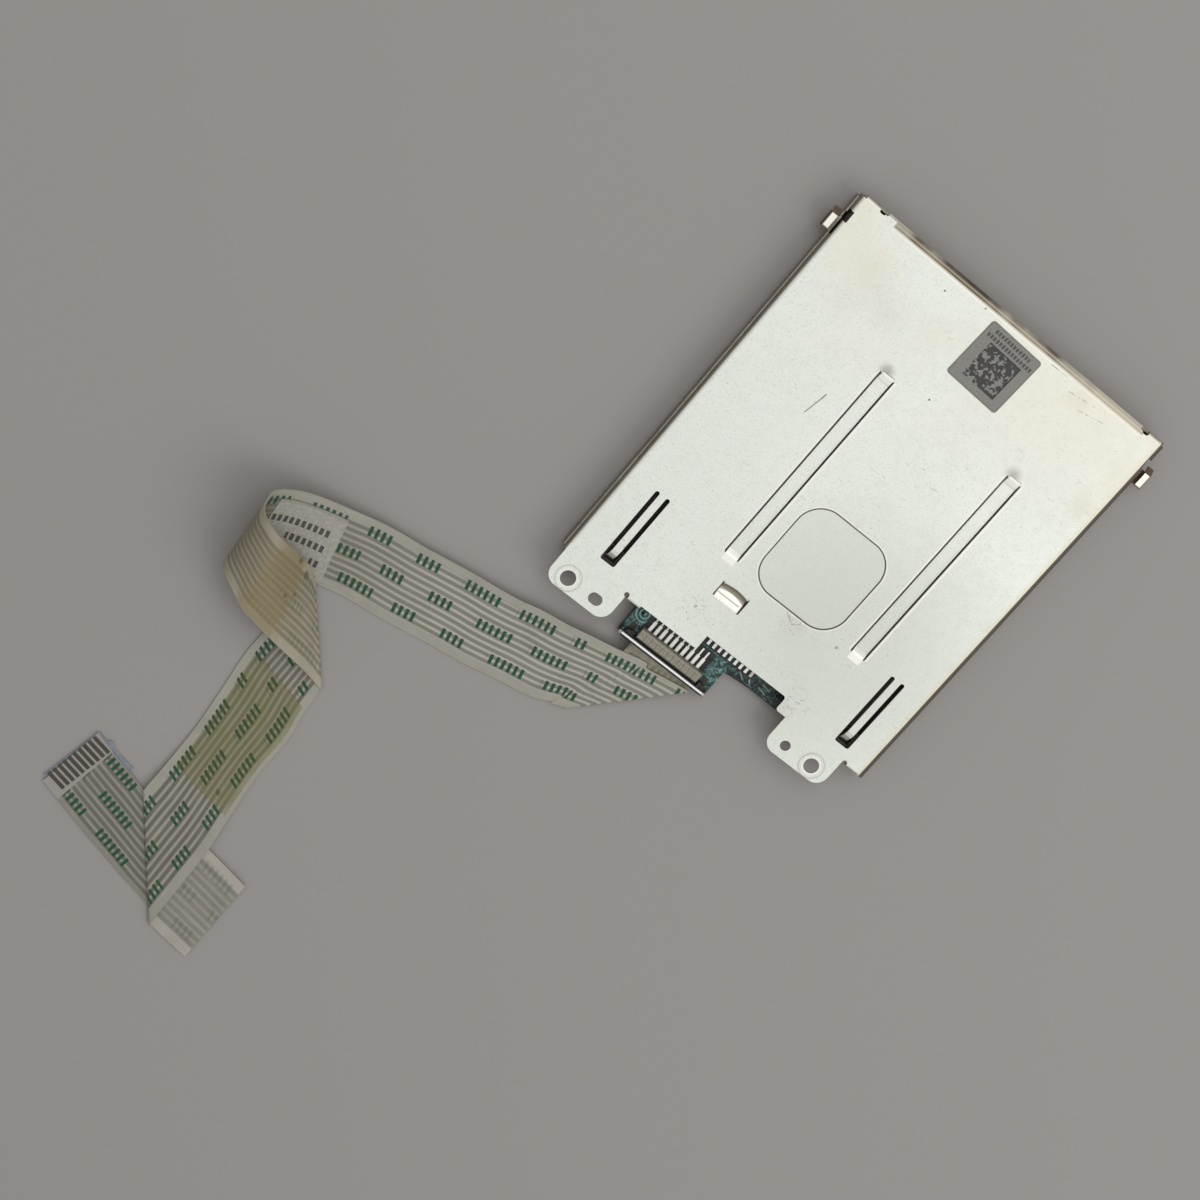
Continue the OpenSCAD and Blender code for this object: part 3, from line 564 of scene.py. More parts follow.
@shared("fine dirt", Place=ORIGIN, Cell=2.0, Reach=0.1, Share=0.3)
def fine_dirt(ins):
    feeds = {"Vector": ins["Place"], "Scale": sums("DIVIDE", 1.0, ins["Cell"])}
    cells = add("TexVoronoi", feeds, voronoi_dimensions="2D")
    kept = sums("LESS_THAN", split(cells.outputs["Color"])[0], ins["Share"])
    size = sums("DIVIDE", ins["Reach"], ins["Cell"])
    dot = falling(cells.outputs["Distance"], times(size, 0.5), size)
    return {"Mask": times(kept, dot)}


@shared(
    "worn metal",
    ("Colour", "Roughness", "Height"),
    Place=ORIGIN,
    Colour=(1.0, 1.0, 1.0, 1.0),
    Dull=(0.5, 0.5, 0.5, 1.0),
    Dulling=0.3,
    Roughness=0.4,
)
def worn_metal(ins):
    """Broad clouds, small patches and a fine grain together make the metal dull and rough."""
    small = noise(ins["Place"], 1.6, 5.0)
    fine = noise(ins["Place"], 0.25)
    clouds = times(spread(noise(ins["Place"], 14.0), 0.0, 1.0), 0.45)
    patch = times(between(small, 0.42, 0.68), 0.4)
    share = plus(clouds, patch, times(fine, 0.25))
    share = sums("MULTIPLY", share, ins["Dulling"], clamp=True)
    rougher = times(minus(share, 0.15), 0.35)
    return {
        "Colour": blend(share, ins["Colour"], ins["Dull"]),
        "Roughness": plus(ins["Roughness"], rougher),
        "Height": plus(small, times(fine, 0.6)),
    }


CONDUCTORS = 10
BAND_HOLD = 0.42  # how far the bands' field reaches past the middle of the outer bands


@shared("film bands", ("Dark", "Inside", "Height"), Across=0.0, First=1.8, Fill=0.55)
def film_bands(ins):
    """Bands a millimetre apart. The height is lowest at a band's middle."""
    way = minus(ins["Across"], ins["First"])
    saw = gap(sums("FRACT", plus(way, 0.5)), 0.5)
    half = times(ins["Fill"], 0.5)
    dark = falling(saw, minus(half, 0.07), plus(half, 0.09))
    after = sums("GREATER_THAN", way, -BAND_HOLD)
    before = sums("LESS_THAN", way, CONDUCTORS - 1 + BAND_HOLD)
    inside = times(after, before)
    return {"Dark": times(dark, inside), "Inside": inside, "Height": saw}


PRINT_PERIOD = 92  # millimetres of film after which the print repeats
# Where the groups of dashes start and end within it
PRINT_GROUPS = (
    (0, 5), (8, 17), (20, 22), (25, 31), (34, 40),
    (44, 48), (52, 56), (59, 65), (68, 72), (90, 92),
)
PRINT_ROWS = ((1.85, 0.0), (6.05, 4.0), (10.15, 8.0))  # place across, lead along


@shared("printed dashes", Across=0.0, Along=0.0, Row=0.0, Lead=0.0)
def printed_dashes(ins):
    way = plus(ins["Along"], ins["Lead"])
    turn = sums("FRACT", sums("DIVIDE", way, PRINT_PERIOD))
    stops = [
        (place, (level,) * 3) for group in PRINT_GROUPS for place, level in zip(group, (255, 0))
    ]
    grouped = ramp(turn, PRINT_PERIOD, stops, "CONSTANT")
    flat = add("CombineXYZ", {0: ins["Across"], 1: ins["Along"]}).outputs[0]
    wear = noise(flat, 0.5, 3.0)
    ragged = times(minus(wear, 0.5), 0.12)
    row = falling(plus(gap(ins["Across"], ins["Row"]), ragged), 0.72, 0.84)
    saw = sums("FRACT", way)
    dash = times(between(saw, 0.18, 0.26), falling(saw, 0.7, 0.78))
    faded = between(wear, 0.2, 0.4, 0.75, 1.0)
    return {"Mask": times(row, dash, grouped, faded)}


# Short ways to use the groups. Places and sizes are in millimetres.

COVER_TOP = 4.4


def patches(place, size, low, high):
    return call("cloudy patches", Place=place, Size=size, Low=low, High=high)[0]


def stain(place, middle, reach, core, fray, height=None):
    """A frayed spot round middle, which lies on the cover unless height is given."""
    middle = (*middle, COVER_TOP if height is None else height)
    feeds = {"Middle": middle, "Reach": reach, "Core": core, "Fray": fray}
    return call("frayed stain", Place=place, **feeds)[0]


def stroke(place, start, end, width):
    feeds = {"Start": (*start, 0), "End": (*end, 0), "Width": width, "Soft": 0.08}
    return call("drawn line", Place=place, **feeds)[0]


def box_field(u, v, u_low, u_high, v_low, v_high, soft):
    feeds = {"U_low": u_low, "U_high": u_high, "V_low": v_low, "V_high": v_high}
    return call("soft field", U=u, V=v, Soft=soft, **feeds)[0]


def dashes(u, v, start, end, row, height, pitch, fill):
    feeds = {"Row": row, "Height": height, "Pitch": pitch, "Fill": fill}
    return call("row of dashes", U=u, V=v, Start=start, End=end, **feeds)[0]


def worn(place, colour, dull, dulling, roughness):
    feeds = {"Colour": colour, "Dull": dull, "Dulling": dulling, "Roughness": roughness}
    return call("worn metal", Place=place, **feeds)


# ---- sheet metal

COVER_TONE = (243, 247, 240)
COVER_DULL = (198, 206, 197)
WARM = (236, 229, 210)
# Painted shade on the cover's flanges, darker towards their foot
LOW_FLANGE_SHADE = (104, 92, 70)
TARNISH = (128, 118, 92)
# Dark soot for the dots on the cover, and painted shade in the slits beside the ribs
SOOT_AND_SLIT_SHADE = (38, 33, 28)
HIGHLIGHT = (255, 255, 250)
# Painted highlight on the slider's ridge
RIDGE_HIGHLIGHT = (255, 255, 255)
# The cover's own marks, from the photograph. Stains: place, reach, strength
COVER_STAINS = (
    ((-20.0, -8.5), 5.4, 0.16),
    ((-15.0, -10.5), 4.6, 0.16),
    ((-20.6, -14.0), 3.4, 0.1),
    ((14.0, -2.8), 2.6, 0.22),
    ((25.0, -14.0), 3.6, 0.22),
    ((26.0, -7.0), 4.2, 0.14),
    ((-6.5, -20.2), 1.6, 0.1),
    ((5.0, -53.2), 3.0, 0.2),
    ((11.5, -64.0), 2.6, 0.14),
)
# Dots and pitted places: place, reach
COVER_DOTS = (
    ((-4.78, -1.46), 0.26),
    ((-2.25, -16.07), 0.2),
    ((-10.82, -3.23), 0.18),
    ((11.75, -51.91), 0.32),
)
COVER_PITS = (
    ((4.6, -53.2), 2.6),
    ((-8.0, -60.5), 3.0),
    ((12.5, -62.0), 3.4),
    ((-22.5, -60.0), 2.6),
)
# Scratches: start, end, width, and whether the line is broken up
COVER_SCRATCHES = (
    ((-14.6, -28.3), (-14.0, -25.3), 0.1, False),
    ((-14.0, -25.3), (-13.9, -24.6), 0.14, False),
    ((7.6, -1.6), (15.8, -1.1), 0.08, True),
    ((14.9, -4.1), (18.8, -3.3), 0.08, True),
    ((12.0, -2.9), (16.4, -2.3), 0.1, True),
    ((2.6, -52.2), (4.4, -53.3), 0.1, True),
    ((4.4, -53.3), (5.6, -52.4), 0.08, True),
)
# Painted light along the slot, from the flat sheet outwards: a painted highlight on the bend, a
# pale slope, then painted shade in brown on the turned lip, tan, and painted shade in brown
# again. Each line: from, to, tone, strength
SLOT_LIGHT_AND_SHADE = (
    (-1.45, -1.22, HIGHLIGHT, 0.75),
    (-1.2, -0.95, (206, 200, 180), 0.8),
    (-0.98, -0.74, (62, 47, 28), 0.92),
    (-0.70, -0.50, (150, 130, 100), 0.9),
    (-0.46, 0.3, (40, 30, 17), 0.95),
)
HOLES = ((-24.9, -68.1), (20.9, -68.1))
RIB_MIDDLES = (-8.9, 14.9)
RIB_REAR, RIB_FRONT = -50.85, -17.3  # the ends of the slits beside a rib
PAD_MIDDLE = (2.43, -44.3)
PAD_FLAT = 3.5  # from the pad's middle to where its corners start
PAD_ROUND = 4.1  # the corners' radius
BRIDGE_LEFT, BRIDGE_RIGHT = -7.27, -2.67


def cover_marks(p, colour):
    """Stains, soot dots, scratches and the dirt that years of use leave on the sheet."""
    for middle, reach, strength in COVER_STAINS:
        mask = stain(p, middle, reach, 0.0, 0.7)
        colour = mark_in(colour, mask, (190, 176, 140), strength)
    for middle, reach in COVER_DOTS:
        colour = mark_in(colour, stain(p, middle, reach, 0.55, 0.5), SOOT_AND_SLIT_SHADE, 0.85)
    gaps = patches(p, 0.5, 0.42, 0.55)
    for start, end, width, broken in COVER_SCRATCHES:
        mask = stroke(p, start, end, width)
        if broken:
            mask = times(mask, gaps)
        colour = mark_in(colour, mask, (92, 84, 66), 0.7)
    dirt = call("fine dirt", Place=p, Cell=3.0, Reach=0.1, Share=0.3)[0]
    long_way = vectors("MULTIPLY", p, (0.8, 3.0, 1.0))
    scuff = between(noise(long_way, 0.8, 4.0, warp=0.8), 0.64, 0.7)
    colour = laid(
        colour,
        (dirt, TARNISH, 0.5),
        (stain(p, (14.0, -52.0), 30.0, 0.15, 0.1), (200, 204, 194), 0.55),
        (times(scuff, patches(p, 9.0, 0.5, 0.6)), TARNISH, 0.34),
    )
    pits = between(noise(p, 0.55, 4.0, warp=1.0), 0.56, 0.66)
    for middle, reach in COVER_PITS:
        near = times(stain(p, middle, reach, 0.2, 0.3), pits)
        colour = mark_in(colour, near, (138, 134, 116), 0.6)
    return colour


def rib_marks(p, colour):
    """Each rib: a painted shadow and a painted shade line at its front end, painted highlight
    on its ends and just outside each slit, and painted shade in the slits beside it.
    """
    x, y, _ = split(p)
    rear, front = RIB_REAR, RIB_FRONT
    for middle in RIB_MIDDLES:
        way = minus(x, middle)
        off = absolute(way)
        # Painted shadow, soft, up and left of the rib's front end
        end_shadow = stain(p, (middle - 0.7, front + 0.5), 1.7, 0.1, 0.1)
        # A painted shade line at the step before the front end
        step_shade = box_field(off, y, 0.0, 1.0, front + 0.22, front + 0.34, 0.1)
        # Painted highlight on the rib's sloped ends
        ends = most(
            box_field(off, y, 0.0, 0.85, front - 0.75, front + 0.15, 0.15),
            box_field(off, y, 0.0, 0.95, rear - 1.1, rear + 0.1, 0.2),
        )
        # Painted highlight along the sheet just outside each slit
        slit_edge_highlight = box_field(off, y, 1.44, 1.6, rear, front, 0.12)
        # Painted shade in the slits, which are gaps in the sheet
        slits = most(
            box_field(way, y, -1.38, -1.15, rear, front, 0.03),
            box_field(way, y, 1.17, 1.28, rear, front, 0.02),
        )
        colour = laid(
            colour,
            (end_shadow, (128, 128, 118), 0.62),
            (step_shade, (112, 108, 96), 0.5),
            (ends, HIGHLIGHT, 0.9),
            (slit_edge_highlight, HIGHLIGHT, 0.6),
            (slits, SOOT_AND_SLIT_SHADE, 0.95),
        )
    return colour


def pad_marks(p, colour):
    """The pressed pad: a duller field, painted shade in its groove and a painted highlight line
    outside it.
    """
    corner = []
    for value, middle in zip(split(p), PAD_MIDDLE):
        past = most(minus(gap(value, middle), PAD_FLAT), 0.0)
        corner.append(times(past, past))
    out = sums("SQRT", plus(*corner))
    return laid(
        colour,
        (falling(out, PAD_ROUND - 0.1, PAD_ROUND), COVER_DULL, 0.25),
        # Painted highlight outside the groove
        (falling(gap(out, PAD_ROUND + 0.24), 0.04, 0.14), HIGHLIGHT, 0.5),
        # Painted shade in the groove
        (falling(gap(out, PAD_ROUND), 0.07, 0.13), (58, 54, 46), 0.9),
    )


def ring_marks(p, colour):
    """The rings stamped round the screw holes, and a painted highlight on the holes' rims."""
    for x, y in HOLES:
        out = flat_distance(p, x, y)
        colour = laid(
            colour,
            (falling(gap(out, 1.95), 0.04, 0.22), TARNISH, 0.2),
            # Painted highlight on the hole's rim
            (falling(gap(out, 1.3), 0.0, 0.25), HIGHLIGHT, 0.6),
        )
    return colour


def bridge_marks(p, colour):
    """The bridge: painted shade on its steep face, painted highlight on its gentle one with a
    painted shade line at its fold, and painted shade in the cuts at its ends.
    """
    x, y, _ = split(p)
    left, right = BRIDGE_LEFT, BRIDGE_RIGHT
    bow = times(minus(x, (left + right) / 2), 0.43)
    bent = plus(y, times(bow, bow, 0.45))
    depth = between(bent, -55.3, -54.3)
    shade_tone = blend(depth, (166, 160, 140), (100, 92, 74))
    # Painted highlight on the gentle face
    gentle = box_field(x, y, left + 0.2, right - 0.2, -57.0, -55.3, 0.15)
    # A painted shade line at the fold
    fold = box_field(x, y, left + 0.3, right - 0.5, -56.2, -56.08, 0.08)
    shade = box_field(x, bent, left + 0.15, right - 0.1, -55.25, -54.35, 0.12)
    # Painted shade in the cuts at both ends of the bridge
    ends = most(
        box_field(x, y, left - 0.06, left + 0.12, -56.9, -54.5, 0.1),
        box_field(x, y, right - 0.12, right + 0.1, -57.1, -54.7, 0.1),
    )
    return laid(
        colour,
        (gentle, HIGHLIGHT, 0.9),
        (fold, (150, 138, 112), 0.7),
        (shade, shade_tone, 0.95),
        (ends, (64, 54, 42), 0.9),
    )


def cover_edges(p, colour):
    """Where the sheet turns down: painted highlight, a tan band and painted shade along the
    slot; faces turned away from up darker, as raw cut edges and as painted shade on the
    flanges, darkest towards their foot;
    painted shade lines on the right bend and at the front edge.
    """
    x, y, z = split(p)
    lip = plus(y, times(minus(noise(p, 4.0), 0.5), 0.05))
    over_slot = times(between(x, -22.4, -22.0), falling(x, 24.2, 24.6))
    for low, high, shade, strength in SLOT_LIGHT_AND_SHADE:
        line = box_field(lip, over_slot, low, high, 0.9, 1.1, 0.05)
        colour = mark_in(colour, line, shade, strength)
    warm = times(patches(p, 11.0, 0.36, 0.62), between(y, -26.0, -2.0))
    # Faces turned away from up: the sheet's raw cut edges, and painted shade on the flanges
    turned = falling(facing_up(p), 0.25, 0.8)
    # Painted shade, darker towards the flanges' foot
    flange_shade = times(turned, falling(z, 3.0, 4.25))
    # A painted shade line along the right bend
    right = times(between(x, 27.25, 27.38), between(z, 3.6, 3.8))
    return laid(
        colour,
        # Painted shade on the faces at the front edge
        (between(y, -0.4, -0.3), (46, 36, 22), 0.85),
        (between(x, 26.4, 27.3), (226, 214, 184), 0.6),
        (warm, WARM, 0.5),
        (turned, (128, 116, 92), 0.8),
        (flange_shade, LOW_FLANGE_SHADE, 0.7),
        (right, (46, 36, 24), 0.95),
    )


def cover_finish():
    material, tree = finish("tinned_cover", Metallic=0.3)
    p = spot(tree)
    metal = worn(p, COVER_TONE, COVER_DULL, 0.3, 0.4)
    grain = between(noise(p, 0.24), 0.5, 0.72)
    colour = mark_in(metal["Colour"], grain, COVER_DULL, 0.45)
    for marks in (cover_marks, rib_marks, pad_marks, ring_marks, bridge_marks, cover_edges):
        colour = marks(p, colour)
    return coat(material, colour, metal["Roughness"], metal["Height"], 0.25, 0.03)


def shell_finish():
    """Steel, with painted shade on its sides and on its floor inside, and a painted highlight
    on the tops of its two lugs.
    """
    material, tree = finish("steel_shell", Metallic=0.6)
    p = spot(tree)
    x, y, z = split(p)
    metal = worn(p, (206, 204, 194), (150, 144, 128), 0.8, 0.42)
    facing = facing_up(p)
    up = between(facing, 0.5, 0.9)
    inside = box_field(x, y, -27.6, 27.6, -66.0, -0.6, 0.2)
    out = absolute(x)
    lug_top = box_field(out, y, 28.7, 29.6, -6.9, -4.9, 0.12)
    colour = laid(
        metal["Colour"],
        # Painted shade on the faces that do not face up
        (falling(absolute(facing), 0.2, 0.75), (112, 104, 88), 0.7),
        # Painted shade on the floor inside, under the cover
        (times(inside, up, falling(z, 0.6, 1.4)), (96, 92, 82), 0.6),
        (between(out, 28.45, 28.6), (92, 70, 42), 0.85),
        # Painted highlight on the lugs' tops
        (times(lug_top, up, between(z, 2.6, 3.0)), (252, 250, 242), 0.95),
        (patches(p, 1.4, 0.58, 0.72), (120, 98, 66), 0.22),
    )
    return coat(material, colour, metal["Roughness"], metal["Height"], 0.25, 0.03)


def plain_metal(name, colour, dull, dulling=0.6, roughness=0.35, metallic=0.85):
    material, tree = finish(name, Metallic=metallic)
    metal = worn(spot(tree), colour, dull, dulling, roughness)
    return coat(material, metal["Colour"], metal["Roughness"], metal["Height"], 0.2, 0.02)


def contact_finish():
    """Gilt spring inside the slot; its tinned tail behind the cover has painted shade where it
    runs under the cover and a painted highlight at its tip.
    """
    material, tree = finish("spring_contacts", Metallic=0.6)
    p = spot(tree)
    y = split(p)[1]
    metal = worn(p, (214, 186, 118), (150, 122, 70), 0.5, 0.3)
    colour = laid(
        metal["Colour"],
        # Painted shade on the tail under the cover
        (between(y, -60.4, -60.8), (64, 74, 66)),
        # Painted highlight at the tail's tip
        (between(y, -62.95, -63.1), HIGHLIGHT),
    )
    return coat(material, colour, metal["Roughness"], metal["Height"], 0.2, 0.02)


# ---- plastics and board


def moulded(name, colour, pale, roughness=0.5):
    """Moulded plastic with a fine paler grain and a paler bloom in patches."""
    material, tree = finish(name)
    p = spot(tree)
    fine = noise(p, 0.18, 3.0)
    colour = laid(
        colour,
        (patches(p, 2.5, 0.45, 0.7), pale, 0.35),
        (between(fine, 0.55, 0.75), pale, 0.25),
    )
    rough = spread(fine, roughness - 0.08, roughness + 0.1)
    return coat(material, colour, rough, fine, 0.2, 0.02)


BOARD_PALE = (150, 186, 184)
BOARD_DARK = (12, 26, 23)
VIA = (-12.22, -66.1)
BOARD_STROKES = (
    ((8.2, -63.7), (9.6, -63.9)),
    ((8.0, -64.4), (9.3, -64.7)),
    ((3.8, -63.9), (5.2, -64.9)),
)


def board_finish():
    """Green lacquer with paler arcs, as of tracks, round the via. The far part is nearly black
    with a few strokes, with a painted shadow of the slider beside the connector; the board is
    painted nearly black between the pins and under the tails, and its sides get painted shade."""
    material, tree = finish("board_lacquer")
    p = spot(tree)
    x, y, _ = split(p)
    out = flat_distance(p, *VIA)
    waves = sums("SINE", times(out, 11.0))
    arcs = times(between(waves, 0.25, 0.85), falling(out, 1.3, 2.2))
    wild = noise(p, 0.45, 3.0, warp=1.2)
    strokes = between(wild, 0.55, 0.6)
    # Painted shadow of the slider on the board beside the connector
    rear = times(between(y, -68.9, -69.6), between(x, -1.0, 0.2))
    far = most(between(x, 2.2, 3.6), rear)
    colour = laid(
        (28, 58, 56),
        (patches(p, 1.1, 0.42, 0.62), (56, 98, 96)),
        (arcs, BOARD_PALE, 0.75),
        (times(strokes, between(out, 0.9, 1.3)), BOARD_PALE, 0.62),
        (far, BOARD_DARK, 0.93),
        (times(strokes, far), (84, 124, 118), 0.65),
    )
    for start, end in BOARD_STROKES:
        line = stroke(p, start, end, 0.14)
        colour = mark_in(colour, line, (130, 160, 152), 0.7)
    ring = falling(gap(flat_distance(p, 6.6, -64.2), 0.5), 0.05, 0.14)
    # The board is painted nearly black between the pins and under the tails
    pins = box_field(x, y, -11.2, -0.1, -68.6, -64.5, 0.25)
    tails = box_field(x, y, -3.0, 6.3, -64.1, -61.0, 0.25)
    notch = times(between(y, -65.0, -65.5), between(x, 2.6, 3.0))
    rim = most(between(x, -13.62, -13.78), notch)
    # Painted shade on the board's sides
    edge = falling(absolute(facing_up(p)), 0.4, 0.8)
    colour = laid(
        colour,
        (times(ring, falling(x, 6.35, 6.5)), BOARD_PALE),
        (most(pins, tails), (14, 16, 15), 0.92),
        (rim, (14, 20, 18), 0.8),
        (edge, (30, 34, 28), 0.85),
    )
    height = plus(arcs, strokes)
    return coat(material, colour, spread(wild, 0.25, 0.42), height, 0.25, 0.02)


def slider_finish():
    """Dark plastic with a painted highlight along the ridge on its top and a pale cap at each
    end.
    """
    material, tree = finish("slider_plastic")
    p = spot(tree)
    x, y, z = split(p)
    fine = noise(p, 0.3, 3.0)
    ridge = box_field(x, y, -13.4, 1.9, -70.13, -69.86, 0.05)
    colour = laid(
        (26, 23, 20),
        (between(fine, 0.4, 0.65), (44, 38, 32)),
        # Painted highlight on the ridge's top
        (times(ridge, between(z, 2.64, 2.7)), RIDGE_HIGHLIGHT),
    )
    for end in (-13.65, 1.9):
        cap = falling(flat_distance(p, end, -70.03), 0.2, 0.36)
        colour = mark_in(colour, cap, (188, 182, 168), 0.8)
    return coat(material, colour, spread(fine, 0.3, 0.45), fine, 0.15, 0.02)


def housing_finish():
    """Beige plastic, dark at its rear and ends; two rows of faint ticks stand for the
    terminals inside."""
    material, tree = finish("connector_plastic")
    p = spot(tree)
    x, y, _ = split(p)
    fine = noise(p, 0.22, 3.0)
    beige = between(fine, 0.35, 0.7)
    colour = blend(beige, (132, 128, 114), (160, 156, 142))
    for row, height, strength in ((-68.45, 0.62, 0.35), (-69.2, 0.5, 0.25)):
        ticks = dashes(x, y, -11.3, -0.4, row, height, 0.5, 0.55)
        colour = mark_in(colour, ticks, (104, 100, 88), strength)
    colour = laid(
        colour,
        (between(y, -67.9, -67.7), (66, 60, 52), 0.5),
        (between(y, -69.14, -69.3), (22, 19, 16), 0.97),
        (between(gap(x, -5.7), 5.45, 5.65), (24, 24, 20), 0.9),
    )
    return coat(material, colour, spread(fine, 0.42, 0.6), fine, 0.2, 0.02)


# ---- labels and cable

LABEL_MIDDLE = (1.65, -6.92)
LABEL_TURN = math.radians(-2.4)
LABEL_HALF = (4.68, 4.78)
# The mottled field on the label: left, right, rear and front edge from the label's middle
FIELD = (-2.82, 3.05, -3.5, 2.2)
INK = (44, 44, 42)


def label_finish():
    """Grey label: two rows of short dashes and a mottled darker field, all without meaning."""
    material, tree = finish("label_film")
    p = spot(tree)
    feeds = {"Vector": vectors("SUBTRACT", p, (*LABEL_MIDDLE, 0)), "Angle": -LABEL_TURN}
    turned = add("VectorRotate", feeds, rotation_type="Z_AXIS").outputs[0]
    u, v, _ = split(turned)
    grain = noise(p, 0.3, 3.0)
    greys = between(grain, 0.35, 0.7)
    colour = blend(greys, (124, 124, 120), (136, 136, 132))
    wave = plus(v, times(minus(grain, 0.5), 0.35))
    for row, start, end in ((3.85, -3.35, 3.1), (2.88, -4.0, 4.3)):
        line = dashes(u, wave, start, end, row, 0.6, 0.56, 0.66)
        colour = mark_in(colour, line, INK, 0.8)
    left, right, rear, front = FIELD
    feeds = {"Vector": turned, "Scale": 1.9}
    mottle = add("TexVoronoi", feeds, voronoi_dimensions="2D", distance="CHEBYCHEV")
    cells = sums("GREATER_THAN", split(mottle.outputs["Color"])[0], 0.62)
    blots = between(noise(turned, 0.75, 1.0), 0.49, 0.53)
    field = times(box_field(u, v, *FIELD, 0.05), most(blots, cells))
    rim = most(
        box_field(u, v, right - 0.2, right, rear, front, 0.04),
        box_field(u, v, left, right, front - 0.15, front, 0.04),
    )
    inwards = [minus(half, absolute(value)) for half, value in zip(LABEL_HALF, (u, v))]
    colour = laid(
        colour,
        (field, INK, 0.95),
        (rim, INK, 0.95),
        (falling(least(*inwards), 0.05, 0.3), (98, 92, 78), 0.55),
    )
    return coat(material, colour, spread(grain, 0.42, 0.55), grain, 0.15, 0.02)


# Tones along the film: millimetres along it, then red, green and blue. For the dark bands, the
# pale lines and the margins, each first on the printed side and then on the back. The tones are
# painted darker, as painted shade, where the film curls over about 60 to 100 mm along, and the
# pale lines are partly a painted highlight on the conductors' relief.
FILM_TONES = (
    (
        (
            (0, 126, 126, 114), (46, 124, 124, 112), (62, 112, 109, 98), (75, 102, 98, 84),
            (100, 104, 102, 90), (140, 100, 98, 88), (165, 98, 98, 88), (195, 104, 103, 98),
        ),
        (
            (0, 120, 115, 96), (30, 120, 115, 96), (64, 112, 107, 88), (110, 120, 115, 96),
            (140, 128, 126, 116), (195, 128, 126, 116),
        ),
    ),
    (
        (
            (0, 176, 174, 162), (42, 174, 172, 160), (62, 144, 141, 128), (75, 122, 118, 102),
            (100, 152, 149, 137), (140, 148, 146, 134), (165, 134, 133, 122),
            (195, 140, 139, 130),
        ),
        (
            (0, 140, 135, 115), (30, 140, 135, 115), (64, 134, 129, 108), (110, 148, 143, 124),
            (140, 146, 143, 133), (195, 146, 143, 133),
        ),
    ),
    (
        (
            (0, 160, 158, 148), (62, 154, 152, 140), (75, 148, 145, 132), (100, 158, 156, 144),
            (140, 152, 150, 138), (165, 128, 127, 118), (195, 134, 133, 126),
        ),
        (
            (0, 146, 142, 124), (30, 146, 142, 124), (64, 148, 143, 124), (110, 152, 147, 130),
            (140, 166, 162, 152), (195, 166, 162, 152),
        ),
    ),
)
RAMP_LENGTH = 200  # millimetres along the film that a ramp of tones covers
PRINT_GREEN = (8, 72, 38)
SHOW_THROUGH = 0.24  # how strongly the print shows on the film's back
# Where the plain film under the bare strips starts, in millimetres along the cable
BARE_FROM = min(ROWS[-1].way) - 3.5
# Brown spots on the curl's back: across and along, reach
CURL_SPOTS = (((6.1, 87.8), 0.5), ((5.0, 89.7), 0.45), ((0.5, 87.7), 0.8), ((1.5, 90.7), 0.9))


def film_tone(along, stops):
    stops = [(place, colour) for place, *colour in stops]
    return ramp(sums("DIVIDE", along, RAMP_LENGTH), RAMP_LENGTH, stops)


def film_place(tree):
    """Where on the film a point lies: across, along, the side, and the first two as one."""
    node = tree.nodes.new("ShaderNodeAttribute")
    node.attribute_name = "lay"
    across, along, side = split(node.outputs["Vector"])
    return across, along, side, add("CombineXYZ", {0: across, 1: along}).outputs[0]


def film_look(across, along, side, flat):
    """The laminated cable: ten dark bands between pale lines, pale margins and worn
    green dashes on its printed side. Gives its colour, the dashes and the bands' height."""
    bands = call("film bands", Across=across, First=1.8, Fill=0.56)
    printed_side = sums("LESS_THAN", side, 0.0)
    dark, pale, margin = (
        blend(printed_side, film_tone(along, back), film_tone(along, front))
        for front, back in FILM_TONES
    )
    colour = blend(bands["Inside"], margin, pale)
    colour = blend(bands["Dark"], colour, dark)
    drawn_out = add("CombineXYZ", {0: across, 1: times(along, 0.12)}).outputs[0]
    streaks = between(noise(drawn_out, 0.9, 3.0), 0.5, 0.75)
    clouds = between(noise(flat, 5.0, 3.0), 0.5, 0.75)
    bare = between(along, BARE_FROM - 0.1, BARE_FROM)
    ink = most(
        *(
            call("printed dashes", Across=across, Along=along, Row=row, Lead=lead)[0]
            for row, lead in PRINT_ROWS
        ),
    )
    ink = times(ink, minus(1.0, bare))
    colour = laid(
        colour,
        (streaks, (186, 184, 172), 0.16),
        (clouds, (96, 92, 76), 0.18),
        (bare, (150, 149, 142)),
        (times(ink, most(printed_side, SHOW_THROUGH)), PRINT_GREEN),
    )
    return colour, ink, bands["Height"]


def cable_finish():
    """The film, browner on its back over a band where it is curled over, with brown spots
    there.
    """
    material, tree = finish("cable_film")
    across, along, side, flat = film_place(tree)
    colour, _, height = film_look(across, along, side, flat)
    back = sums("GREATER_THAN", side, 0.0)
    wild = times(minus(noise(flat, 2.0, 4.0), 0.5), 5.0)
    way = plus(along, wild)
    curled = times(between(way, 79.0, 83.0), falling(way, 88.5, 91.0), back)
    colour = mark_in(colour, curled, (128, 112, 74), 0.6)
    for middle, reach in CURL_SPOTS:
        mask = times(stain(flat, middle, reach, 0.3, 0.8, 0), back)
        colour = mark_in(colour, mask, (84, 66, 34), 0.7)
    rough = noise(flat, 1.2, 3.0)
    height = plus(height, times(rough, 0.6))
    return coat(material, colour, spread(rough, 0.4, 0.56), height, 0.5, 0.08)


